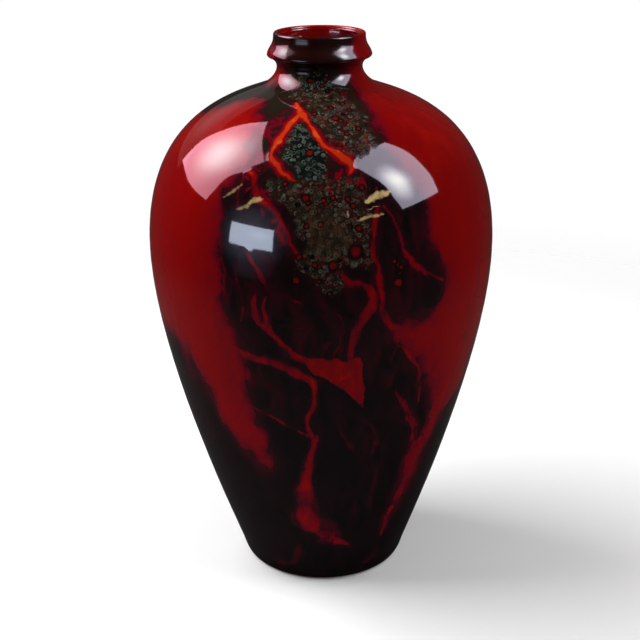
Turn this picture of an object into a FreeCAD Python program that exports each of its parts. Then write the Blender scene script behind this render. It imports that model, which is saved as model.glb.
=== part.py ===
import FreeCAD
import Part
import os
import re

import Sketcher
from FreeCAD import Vector

# A wheel-thrown vase of the plum-blossom kind: small foot, wide high shoulder, short neck and a
# ridged mouth ring. Three thrown sections of clay are luted together, and three coats of glaze
# lie on them. Every piece is turned about the upright axis that runs through the foot's centre.
# Lengths are in millimetres, angles in degrees and levels are heights above the table.

SIZES = [
    ("height", "300", "table to the top of the lip"),
    ("glaze", "0.5", "thickness of every coat of glaze"),
    ("glaze_line", "0.7", "level where the outer coat was wiped off the foot"),
    # Foot and lower wall
    ("foot_radius", "46", "reach of the foot's edge under the lower wall"),
    ("foot_edge", "3.5", "rounding of the clay where the wall meets the ground"),
    ("foot_lean", "19.75", "lean of the wall above the foot, from upright"),
    ("ring_width", "8", "foot's reach beyond the recess inside the foot ring"),
    ("recess_depth", "4", "depth of the recess in the foot"),
    ("recess_round", "2.5", "rounding between the recess's side and ceiling"),
    ("ring_round", "1", "softened inner edge of the foot ring"),
    ("wall_foot_share", "0.18", "pull of the foot's lean on the lower wall"),
    ("wall_belly_share", "0.308", "pull of the upright belly on the lower wall"),
    # Belly and shoulder
    ("belly_radius", "93", "widest place of the vase"),
    ("belly_share", "0.6267", "level of the widest place and middle seam, of the height"),
    ("shoulder_slope", "20", "slope of the shoulder at the neck, from level"),
    ("shoulder_belly_share", "0.805", "pull of the upright belly on the shoulder"),
    ("shoulder_root_share", "0.222", "pull of the neck's root on the shoulder"),
    ("root_reach", "9.15", "how far the neck's root reaches beyond the throat"),
    ("root_drop", "27.6", "lip's top down to the neck's root on the shoulder"),
    # Neck and mouth ring
    ("neck_radius", "22.45", "narrowest place of the neck"),
    ("throat_drop", "17.6", "lip's top down to the narrowest place"),
    ("neck_root_share", "0.55", "pull of the shoulder's slope on the neck"),
    ("neck_throat_share", "0.37", "pull of the upright throat on the neck"),
    ("ridge_reach", "4.95", "how far the mouth ring's ridge reaches beyond the throat"),
    ("ridge_drop", "11.3", "lip's top down to the ridge"),
    ("ridge_round", "1.3", "rounding of the ridge's nose"),
    ("under_slope", "21.6", "slope of the ridge's underside, from level"),
    ("cove_throat_share", "0.33", "pull of the upright throat on the cove under the ridge"),
    ("cove_ridge_share", "0.5", "pull of the ridge's underside on the cove"),
    ("face_lean", "15.7", "lean of the ring's face above the ridge, from upright"),
    ("face_ridge_share", "0.35", "pull of the ridge on the ring's face"),
    ("face_lip_share", "0.5", "pull of the upright lip on the ring's face"),
    ("rim_reach", "1.55", "how far the lip reaches beyond the throat"),
    ("lip_round", "1.3", "rounding of the lip, which is twice as thick"),
    # Inside
    ("throat_wall", "3.95", "whole thickness of the wall at the throat"),
    ("mouth_depth", "16", "lip's top down to where the mouth narrows to the bore"),
    ("bore_length", "10", "length of the neck's straight bore"),
    ("flare_lip_share", "0.35", "pull of the upright lip on the mouth's inside"),
    ("flare_bore_share", "0.35", "pull of the neck on the mouth's inside"),
    ("throat_bore_share", "0.5", "pull of the bore on the inside of the neck's root"),
    ("throat_root_share", "0.6", "pull of the shoulder on the inside of the neck's root"),
    ("root_wall", "5.5", "whole thickness of the wall at the neck's root"),
    ("belly_wall", "5.5", "whole thickness of the wall at the belly"),
    ("seam_drop", "4", "how much lower the middle seam lies on the inside"),
    ("floor_inset", "2.5", "foot's reach beyond the inside floor with its rounding"),
    ("floor_round", "12", "rounding between the inside floor and wall"),
    ("floor_level", "11.5", "level of the inside floor"),
    # Making
    ("overrun", "1", "how far a cut starts outside the clay"),
]

# Places that follow from the sizes.
PLACES = {
    "recess_radius": "foot_radius - ring_width",
    "floor_radius": "foot_radius - floor_inset",
    "belly_level": "height * belly_share",
    "root_radius": "neck_radius + root_reach",
    "root_level": "height - root_drop",
    "neck_level": "height - throat_drop",
    "ridge_radius": "neck_radius + ridge_reach",
    "ridge_level": "height - ridge_drop",
    "rim_radius": "neck_radius + rim_reach",
    "bore_radius": "neck_radius - throat_wall",
    "bore_end": "height - mouth_depth",
    "bore_start": "height - mouth_depth - bore_length",
}

# How a sketch numbers the points of an edge, its own origin and its two axes.
START, END, CENTRE = range(1, 4)
ORIGIN = ACROSS_AXIS = -1
UP_AXIS = ACROSS_AXIS - 1
NAMES = {alias for alias, value, note in SIZES}

# Directions in the upright plane, across and up, that several outlines follow.
WALL_UPWARD = ("sin(foot_lean)", "cos(foot_lean)")
WALL_OUTWARD = ("cos(foot_lean)", "-sin(foot_lean)")
SHOULDER_INWARD = ("-cos(shoulder_slope)", "sin(shoulder_slope)")
SHOULDER_OUTWARD = ("sin(shoulder_slope)", "cos(shoulder_slope)")

doc = FreeCAD.newDocument("Vase")
sheet = doc.addObject("Spreadsheet::Sheet", "Sizes")
for row, (alias, value, note) in enumerate(SIZES, 1):
    sheet.set(f"A{row}", note)
    sheet.set(f"B{row}", value)
    sheet.setAlias(f"B{row}", alias)
doc.recompute()


def cell(word):
    """What a word of a formula stands for: a size's cell, a place's own formula or itself."""
    if word[0] in PLACES:
        return f"({bound(PLACES[word[0]])})"
    return f"Sizes.{word[0]}" if word[0] in NAMES else word[0]


def bound(formula):
    """The formula with each named size and place pointing at the cells."""
    return re.sub(r"[a-z_]+", cell, formula)


def value_of(formula):
    """What the formula comes to with the sheet's present sizes."""
    return float(sheet.evalExpression(bound(formula)))


def moved(place, reach, right, up):
    """A place moved by a reach along a direction, all of them formulas."""
    return f"{place[0]} + ({reach}) * ({right})", f"{place[1]} + ({reach}) * ({up})"


class Run:
    """One stretch of an outline: a straight line, an arc or a cubic curve with its two pulls."""

    def __init__(self, kind, places, centre=None, radius=None):
        self.kind = kind
        self.places = places
        self.centre = centre
        self.radius = radius

    def back(self):
        return Run(self.kind, self.places[::-1], self.centre, self.radius)


def line(start, end):
    return Run("line", [start, end])


def arc(start, end, centre, radius):
    return Run("arc", [start, end], centre, radius)


def curve(start, start_pull, end_pull, end):
    return Run("curve", [start, start_pull, end_pull, end])


def backwards(runs):
    return [run.back() for run in reversed(runs)]


def pins(geometry, point, place):
    """The ties, each with its formula, that hold a point of the sketch at its place."""
    ties = []
    for kind, formula, axis in (("DistanceX", place[0], UP_AXIS), ("DistanceY", place[1], ACROSS_AXIS)):
        if formula == "0":
            ties.append((Sketcher.Constraint("PointOnObject", geometry, point, axis), None))
        else:
            tie = Sketcher.Constraint(kind, ORIGIN, START, geometry, point, value_of(formula))
            ties.append((tie, formula))
    return ties


def add_line(sketch, run, points):
    return sketch.addGeometry(Part.LineSegment(*points), False), (START, END), []


def add_arc(sketch, run, points):
    """Adds an arc of under half a turn, with its ends in the outline's order and its radius tied."""
    centre = Vector(value_of(run.centre[0]), value_of(run.centre[1]), 0)
    spokes = [point - centre for point in points]
    leftwards = spokes[0].x * spokes[1].y > spokes[0].y * spokes[1].x
    first, last = spokes if leftwards else reversed(spokes)
    circle = Part.Circle(centre, Vector(0, 0, 1), first.Length)
    sweep = [circle.parameter(centre + spoke) for spoke in (first, last)]
    index = sketch.addGeometry(Part.ArcOfCircle(circle, *sweep), False)
    radius = Sketcher.Constraint("Radius", index, value_of(run.radius))
    return index, (START, END) if leftwards else (END, START), [(radius, run.radius)]


def add_curve(sketch, run, points):
    """Adds a cubic curve with its two pulls tied."""
    index = sketch.addGeometry(Part.BSplineCurve(points, None, None, False, 3, None, False), False)
    sketch.exposeInternalGeometry(index)
    pulls = pins(index + 2, CENTRE, run.places[1]) + pins(index + 3, CENTRE, run.places[2])
    return index, (START, END), pulls


ADDERS = {"line": add_line, "arc": add_arc, "curve": add_curve}


def outline(body, name, runs):
    """Draws a closed outline of runs on the body's upright plane, every place tied to the sizes."""
    sketch = body.newObject("Sketcher::SketchObject", name)
    upright = next(plane for plane in body.Origin.OriginFeatures if plane.Role == "XZ_Plane")
    sketch.AttachmentSupport = [(upright, "")]
    sketch.MapMode = "FlatFace"
    ties = []
    drawn = []
    for run in runs:
        points = [Vector(value_of(across), value_of(up), 0) for across, up in run.places]
        index, ends, own_ties = ADDERS[run.kind](sketch, run, points)
        ties += own_ties + pins(index, ends[0], run.places[0])
        drawn.append((index, ends))
    for (last, last_ends), (index, ends) in zip([drawn[-1]] + drawn[:-1], drawn):
        meeting = Sketcher.Constraint("Coincident", last, last_ends[1], index, ends[0])
        ties.append((meeting, None))
    numbers = sketch.addConstraint([tie for tie, formula in ties])
    for number, (tie, formula) in zip(numbers, ties):
        if formula:
            sketch.setExpression(f"Constraints[{number}]", bound(formula))
    return sketch


def turned(label, runs):
    """A body turned about the vase's axis from a closed outline."""
    body = doc.addObject("PartDesign::Body", label)
    body.Label = label
    turn = body.newObject("PartDesign::Revolution", f"{label}_turn")
    turn.Profile = outline(body, f"{label}_outline", runs)
    turn.ReferenceAxis = (turn.Profile[0], ["V_Axis"])
    turn.Angle = 360
    return body


def lip_inside(depth):
    """The place at the lip's inner edge where the outer and inner coats meet."""
    return f"rim_radius - 2 * lip_round + {depth}", "height - lip_round"


def outside(depth):
    """The outer face from the foot to the inside of the lip, at a depth under the glaze."""
    edge = f"(foot_edge + glaze - {depth})"
    edge_centre = ("foot_radius - foot_edge - glaze", "foot_edge")
    wiped = f"sqrt({edge}^2 - (foot_edge - glaze_line)^2)"
    wiped_end = (f"{edge_centre[0]} + {wiped}", "glaze_line")
    foot = moved(edge_centre, edge, *WALL_OUTWARD)
    belly = (f"belly_radius - {depth}", "belly_level")
    root = moved(("root_radius", "root_level"), f"-{depth}", *SHOULDER_OUTWARD)
    throat = (f"neck_radius - {depth}", "neck_level")
    nose = f"(ridge_round - {depth})"
    nose_centre = ("ridge_radius - ridge_round", "ridge_level")
    underside = ("cos(under_slope)", "sin(under_slope)")
    under = moved(nose_centre, nose, "sin(under_slope)", "-cos(under_slope)")
    face = moved(nose_centre, nose, "cos(face_lean)", "sin(face_lean)")
    lip_centre = ("rim_radius - lip_round", "height - lip_round")
    lip = f"(lip_round - {depth})"
    rim = moved(lip_centre, lip, "1", "0")
    crown = moved(lip_centre, lip, "0", "1")
    inner_rim = lip_inside(depth)

    shoulder_rise = "(root_level - belly_level)"
    neck_rise = "(neck_level - root_level)"
    cove_rise = "(ridge_level - neck_level)"
    face_rise = "(height - ridge_level)"
    lower = [
        arc(wiped_end, foot, edge_centre, edge),
        curve(foot, moved(foot, "wall_foot_share * belly_level", *WALL_UPWARD),
              moved(belly, "wall_belly_share * belly_level", "0", "-1"), belly),
    ]
    shoulder = [
        curve(belly, moved(belly, f"shoulder_belly_share * {shoulder_rise}", "0", "1"),
              moved(root, f"-shoulder_root_share * {shoulder_rise}", *SHOULDER_INWARD), root),
    ]
    collar = [
        curve(root, moved(root, f"neck_root_share * {neck_rise}", *SHOULDER_INWARD),
              moved(throat, f"neck_throat_share * {neck_rise}", "0", "-1"), throat),
        curve(throat, moved(throat, f"cove_throat_share * {cove_rise}", "0", "1"),
              moved(under, f"-cove_ridge_share * {cove_rise}", *underside), under),
        arc(under, face, nose_centre, nose),
        curve(face, moved(face, f"face_ridge_share * {face_rise}", "-sin(face_lean)", "cos(face_lean)"),
              moved(rim, f"face_lip_share * {face_rise}", "0", "-1"), rim),
        arc(rim, crown, lip_centre, lip),
        arc(crown, inner_rim, lip_centre, lip),
    ]
    return lower, shoulder, collar


def inside(depth):
    """The inner face from the inside of the lip to the floor's centre, at a depth under the glaze."""
    inner_rim = lip_inside(depth)
    bore_top = (f"bore_radius + {depth}", "bore_end")
    bore_foot = (f"bore_radius + {depth}", "bore_start")
    root = moved(("root_radius", "root_level"), f"{depth} - root_wall", *SHOULDER_OUTWARD)
    belly = (f"belly_radius - belly_wall + {depth}", "belly_level - seam_drop")
    corner_centre = ("floor_radius - floor_round", "floor_level + floor_round")
    corner = f"(floor_round + {depth})"
    corner_top = moved(corner_centre, corner, *WALL_OUTWARD)
    corner_foot = moved(corner_centre, corner, "0", "-1")
    middle = ("0", f"floor_level - {depth}")

    flare_rise = "(height - lip_round - bore_end)"
    throat_rise = "(bore_start - root_level + root_wall)"
    shoulder_rise = "(root_level - belly_level)"
    collar = [
        curve(inner_rim, moved(inner_rim, f"flare_lip_share * {flare_rise}", "0", "-1"),
              moved(bore_top, f"flare_bore_share * {flare_rise}", "0", "1"), bore_top),
        line(bore_top, bore_foot),
        curve(bore_foot, moved(bore_foot, f"throat_bore_share * {throat_rise}", "0", "-1"),
              moved(root, f"throat_root_share * {throat_rise}", *SHOULDER_INWARD), root),
    ]
    shoulder = [
        curve(root, moved(root, f"-shoulder_root_share * {shoulder_rise}", *SHOULDER_INWARD),
              moved(belly, f"shoulder_belly_share * {shoulder_rise}", "0", "1"), belly),
    ]
    lower = [
        curve(belly, moved(belly, "wall_belly_share * belly_level", "0", "-1"),
              moved(corner_top, "wall_foot_share * belly_level", *WALL_UPWARD), corner_top),
        arc(corner_top, corner_foot, corner_centre, corner),
        line(corner_foot, middle),
    ]
    return collar, shoulder, lower


def first_place(runs):
    return runs[0].places[0]


def last_place(runs):
    return runs[-1].places[-1]


def joined(*stretches):
    """Stretches of runs closed into one outline by straight lines between their ends."""
    runs = []
    for stretch, following in zip(stretches, stretches[1:] + stretches[:1]):
        runs += stretch
        if last_place(stretch) != first_place(following):
            runs.append(line(last_place(stretch), first_place(following)))
    return runs


outer_lower, outer_shoulder, outer_collar = outside("glaze")
inner_collar, inner_shoulder, inner_lower = inside("glaze")

# Lower body: the clay foot reaches the table below the wiped glaze, so its arc starts there.
foot_arc, lower_wall = outer_lower
foot_ground = ("foot_radius - foot_edge - glaze", "0")
clay_foot = arc(foot_ground, foot_arc.places[1], foot_arc.centre, foot_arc.radius)
centre_line = [line(last_place(inner_lower), ("0", "0")), line(("0", "0"), foot_ground)]
lower_body = turned("lower_body", joined([clay_foot, lower_wall], inner_lower, centre_line))

# The recess is turned out of the foot, which leaves the ring that the vase stands on.
recess_wall = ("recess_radius", "recess_depth - recess_round")
recess_corner = ("recess_radius - recess_round", "recess_depth")
recess_centre = ("recess_radius - recess_round", "recess_depth - recess_round")
recess = outline(lower_body, "recess_outline", joined(
    [line(("0", "-overrun"), ("recess_radius", "-overrun"))],
    [arc(recess_wall, recess_corner, recess_centre, "recess_round")],
    [line(("0", "recess_depth"), ("0", "-overrun"))]))
groove = lower_body.newObject("PartDesign::Groove", "recess")
groove.Profile = recess
groove.ReferenceAxis = (recess, ["V_Axis"])
groove.Angle = 360
doc.recompute()

ring_edges = [
    f"Edge{number}" for number, edge in enumerate(groove.Shape.Edges, 1)
    if isinstance(edge.Curve, Part.Circle)
    and abs(edge.Curve.Center.z) < sheet.recess_round / 100
    and abs(edge.Curve.Radius - value_of("recess_radius")) < sheet.recess_round / 100
]
soft_edge = lower_body.newObject("PartDesign::Fillet", "ring_edge")
soft_edge.Base = (groove, ring_edges)
soft_edge.setExpression("Radius", bound("ring_round"))

# Upper body: belly to the neck's root, between the two luted seams.
upper_body = turned("upper_body", joined(outer_shoulder, inner_shoulder))

# Neck and mouth ring, with the ridge's undercut cove and the flared mouth.
neck_collar = turned("neck_collar", joined(outer_collar, inner_collar))

# The outer coat lies on all three sections and wraps over the lip, where it meets the inner coat.
clay_face = outer_lower + outer_shoulder + outer_collar
glazed_face = sum(outside("0"), [])
outer_glaze = turned("outer_glaze", joined(glazed_face, backwards(clay_face)))

clay_cavity = inner_collar + inner_shoulder + inner_lower
glazed_cavity = sum(inside("0"), [])
inner_glaze = turned("inner_glaze", joined(glazed_cavity, backwards(clay_cavity)))

# Base glaze: a coat on the recess's ceiling, up to the corner's rounding.
coat_top, coat_face = "recess_depth", "recess_depth - glaze"
coat_radius = recess_corner[0]
base_glaze = turned("base_glaze", joined(
    [line(("0", coat_face), (coat_radius, coat_face))],
    [line((coat_radius, coat_top), ("0", coat_top))]))

doc.recompute()
PIECES = [lower_body, upper_body, neck_collar, outer_glaze, inner_glaze, base_glaze]
for item in doc.Objects:
    if {"Invalid", "Error"} & set(item.State):
        raise RuntimeError(f"{item.Label} failed: {item.State}")
    if item.TypeId == "Sketcher::SketchObject" and not item.FullyConstrained:
        raise RuntimeError(f"{item.Label} isn't held by its sizes")
for piece in PIECES:
    if piece.Shape.isNull() or not piece.Shape.isValid() or len(piece.Shape.Solids) != 1:
        raise RuntimeError(f"{piece.Label} isn't one sound solid")

os.makedirs("parts", exist_ok=True)
for piece in PIECES:
    piece.Shape.exportStep(f"parts/{piece.Label}.step")
    print(f"{piece.Label}: {piece.Shape.Volume:.0f} cubic mm")
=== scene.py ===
"""The looks of a glazed stoneware vase: its streaked coat, its liner, its bare foot and the studio."""

from functools import partial
from math import cos, pi, radians, sin

import bmesh
import bpy
import numpy as np
from bpy.props import FloatProperty, FloatVectorProperty, IntProperty, PointerProperty
from mathutils import Matrix, Vector


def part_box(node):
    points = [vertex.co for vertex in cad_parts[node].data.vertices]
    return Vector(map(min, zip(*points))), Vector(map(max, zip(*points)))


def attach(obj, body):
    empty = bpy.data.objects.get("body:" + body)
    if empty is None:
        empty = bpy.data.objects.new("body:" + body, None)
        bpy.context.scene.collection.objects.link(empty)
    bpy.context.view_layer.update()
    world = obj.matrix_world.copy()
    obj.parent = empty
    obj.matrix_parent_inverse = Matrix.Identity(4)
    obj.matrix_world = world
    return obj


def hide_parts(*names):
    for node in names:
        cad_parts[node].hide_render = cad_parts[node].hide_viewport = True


bl_info = {
    "name": "Flambe meiping vase",
    "version": (1, 0, 0),
    "blender": (4, 5, 0),
    "location": "View3D > Sidebar > Vase",
    "description": "Turns and glazes a stoneware vase round its packed clay, and lights it",
    "category": "Object",
}

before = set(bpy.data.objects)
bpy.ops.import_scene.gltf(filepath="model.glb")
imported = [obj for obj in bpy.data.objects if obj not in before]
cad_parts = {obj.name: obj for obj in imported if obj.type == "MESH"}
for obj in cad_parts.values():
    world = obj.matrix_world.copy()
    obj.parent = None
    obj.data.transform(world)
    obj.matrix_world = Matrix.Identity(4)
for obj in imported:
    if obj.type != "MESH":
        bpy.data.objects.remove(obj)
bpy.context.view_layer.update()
coat_low, coat_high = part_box("outer_glaze")

# A millimetre, in metres.
MM = 0.001
ROOT = "root"


def linear(code):
    """The linear colour of an sRGB hex value."""
    parts = [int(code[place:place + 2], 16) / 255 for place in (0, 2, 4)]
    return [part / 12.92 if part <= 0.04045 else ((part + 0.055) / 1.055) ** 2.4 for part in parts]


def length(text, millimetres, note=""):
    """A size property, in metres."""
    return FloatProperty(name=text, description=note or text, default=millimetres * MM,
                         unit="LENGTH", subtype="DISTANCE", precision=5)


def angle(text, degrees, note=""):
    """An angle property, given in degrees."""
    return FloatProperty(name=text, description=note or text, default=radians(degrees), subtype="ANGLE")


def share(text, value, note=""):
    """A property that is a plain number, mostly a share of 1."""
    return FloatProperty(name=text, description=note or text, default=value, precision=3)


def colour(text, code, note=""):
    """A colour property, given as an sRGB hex value."""
    return FloatVectorProperty(name=text, description=note or text, default=linear(code),
                               subtype="COLOR", min=0, max=1)


class VaseShape(bpy.types.PropertyGroup):
    """The outline that the coats of glaze follow, the same as the clay's."""
    height: length("Height", coat_high.z / MM, "Table to the top of the lip")
    coat: length("Coat", 0.5, "Thickness of the glaze")
    glaze_line: length("Glaze line", coat_low.z / MM, "Level where the outer coat was wiped off")
    foot_radius: length("Foot radius", 46)
    foot_edge: length("Foot edge", 3.5, "Rounding of the clay at the foot")
    foot_lean: angle("Foot lean", 19.75, "Lean of the wall above the foot, from upright")
    belly_radius: length("Belly radius", coat_high.x / MM, "Widest place")
    belly_share: share("Belly level", 0.6267, "Level of the widest place, of the height")
    wall_foot_share: share("Wall pull at the foot", 0.18)
    wall_belly_share: share("Wall pull at the belly", 0.308)
    shoulder_slope: angle("Shoulder slope", 20, "Slope of the shoulder at the neck")
    shoulder_belly_share: share("Shoulder pull at the belly", 0.805)
    shoulder_root_share: share("Shoulder pull at the neck", 0.222)
    neck_radius: length("Neck radius", 22.45)
    throat_drop: length("Throat drop", 17.6, "Lip's top down to the narrowest place")
    root_reach: length("Root reach", 9.15, "Neck's root beyond the throat")
    root_drop: length("Root drop", 27.6, "Lip's top down to the neck's root")
    neck_root_share: share("Neck pull at the root", 0.55)
    neck_throat_share: share("Neck pull at the throat", 0.37)
    ridge_reach: length("Ridge reach", 4.95, "Ridge beyond the throat")
    ridge_drop: length("Ridge drop", 11.3, "Lip's top down to the ridge")
    ridge_round: length("Ridge round", 1.3)
    under_slope: angle("Underside slope", 21.6, "Slope of the ridge's underside")
    cove_throat_share: share("Cove pull at the throat", 0.33)
    cove_ridge_share: share("Cove pull at the ridge", 0.5)
    face_lean: angle("Face lean", 15.7, "Lean of the ring's face")
    face_ridge_share: share("Face pull at the ridge", 0.35)
    face_lip_share: share("Face pull at the lip", 0.5)
    rim_reach: length("Rim reach", 1.55, "Lip beyond the throat")
    lip_round: length("Lip round", 1.3)
    throat_wall: length("Throat wall", 3.95)
    mouth_depth: length("Mouth depth", 16)
    bore_length: length("Bore length", 10)
    flare_lip_share: share("Flare pull at the lip", 0.35)
    flare_bore_share: share("Flare pull at the bore", 0.35)
    throat_bore_share: share("Inner throat pull at the bore", 0.5)
    throat_root_share: share("Inner throat pull at the shoulder", 0.6)
    wall: length("Wall", 5.5, "Whole thickness at the belly and the neck's root")
    seam_drop: length("Seam drop", 4)
    floor_inset: length("Floor inset", 2.5)
    floor_round: length("Floor round", 12)
    floor_level: length("Floor level", 11.5)
    sides: IntProperty(name="Sides", description="Columns of faces round the vase", default=280, min=24)
    crowding: angle("Front crowding", 30, "How far the columns are drawn towards the front")


class VaseGlaze(bpy.types.PropertyGroup):
    """The colours that a potter would name."""
    black: colour("Iron black", "070504", "Where the glaze lies thick and cool")
    plum: colour("Plum black", "16070a", "The black's warmer parts, higher on the wall")
    olive: colour("Olive brown", "1b160d", "Iron brown near the neck")
    rust: colour("Rust black", "1f0a07", "Iron on the mouth ring")
    wine: colour("Wine", "34040d", "The black's purple edge")
    crimson: colour("Crimson", "5e0213", "Thin veins low on the wall")
    deep_red: colour("Deep red", "700207")
    red: colour("Copper red", "7a0101", "The open red field")
    bright_red: colour("Bright red", "980d05", "Running veins")
    orange: colour("Orange", "b84012", "Where a vein is hottest")
    tan: colour("Tan", "463220", "Breaks of pale crystals")
    ink: colour("Blue black", "0a0c0c", "Between the bubbles")
    green: colour("Grey green", "4a5448", "Rims of the bubbles")
    gold: colour("Gold", "d0b27c", "Flecks")
    clay: colour("Stoneware", "8d7660", "The bare foot")
    clay_dark: colour("Toasted stoneware", "5c4432")


class VaseStage(bpy.types.PropertyGroup):
    """Lamps, floor and camera."""
    camera_reach: length("Camera reach", 655.06, "Camera to the vase's axis, level")
    camera_level: length("Camera level", 392.89)
    camera_pitch: angle("Camera pitch", 21.089, "How far it looks down")
    camera_roll: angle("Camera roll", 0.451)
    focal_length: FloatProperty(name="Focal length", description="In millimetres", default=70.3125)
    frame_shift: share("Frame shift", -0.0027)
    mirrored: share("Mirrored surroundings", 0.028, "How bright the room is in the glaze, of white")
    ambient: share("Ambient", 0.05, "Level light from all round, of white")


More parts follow.
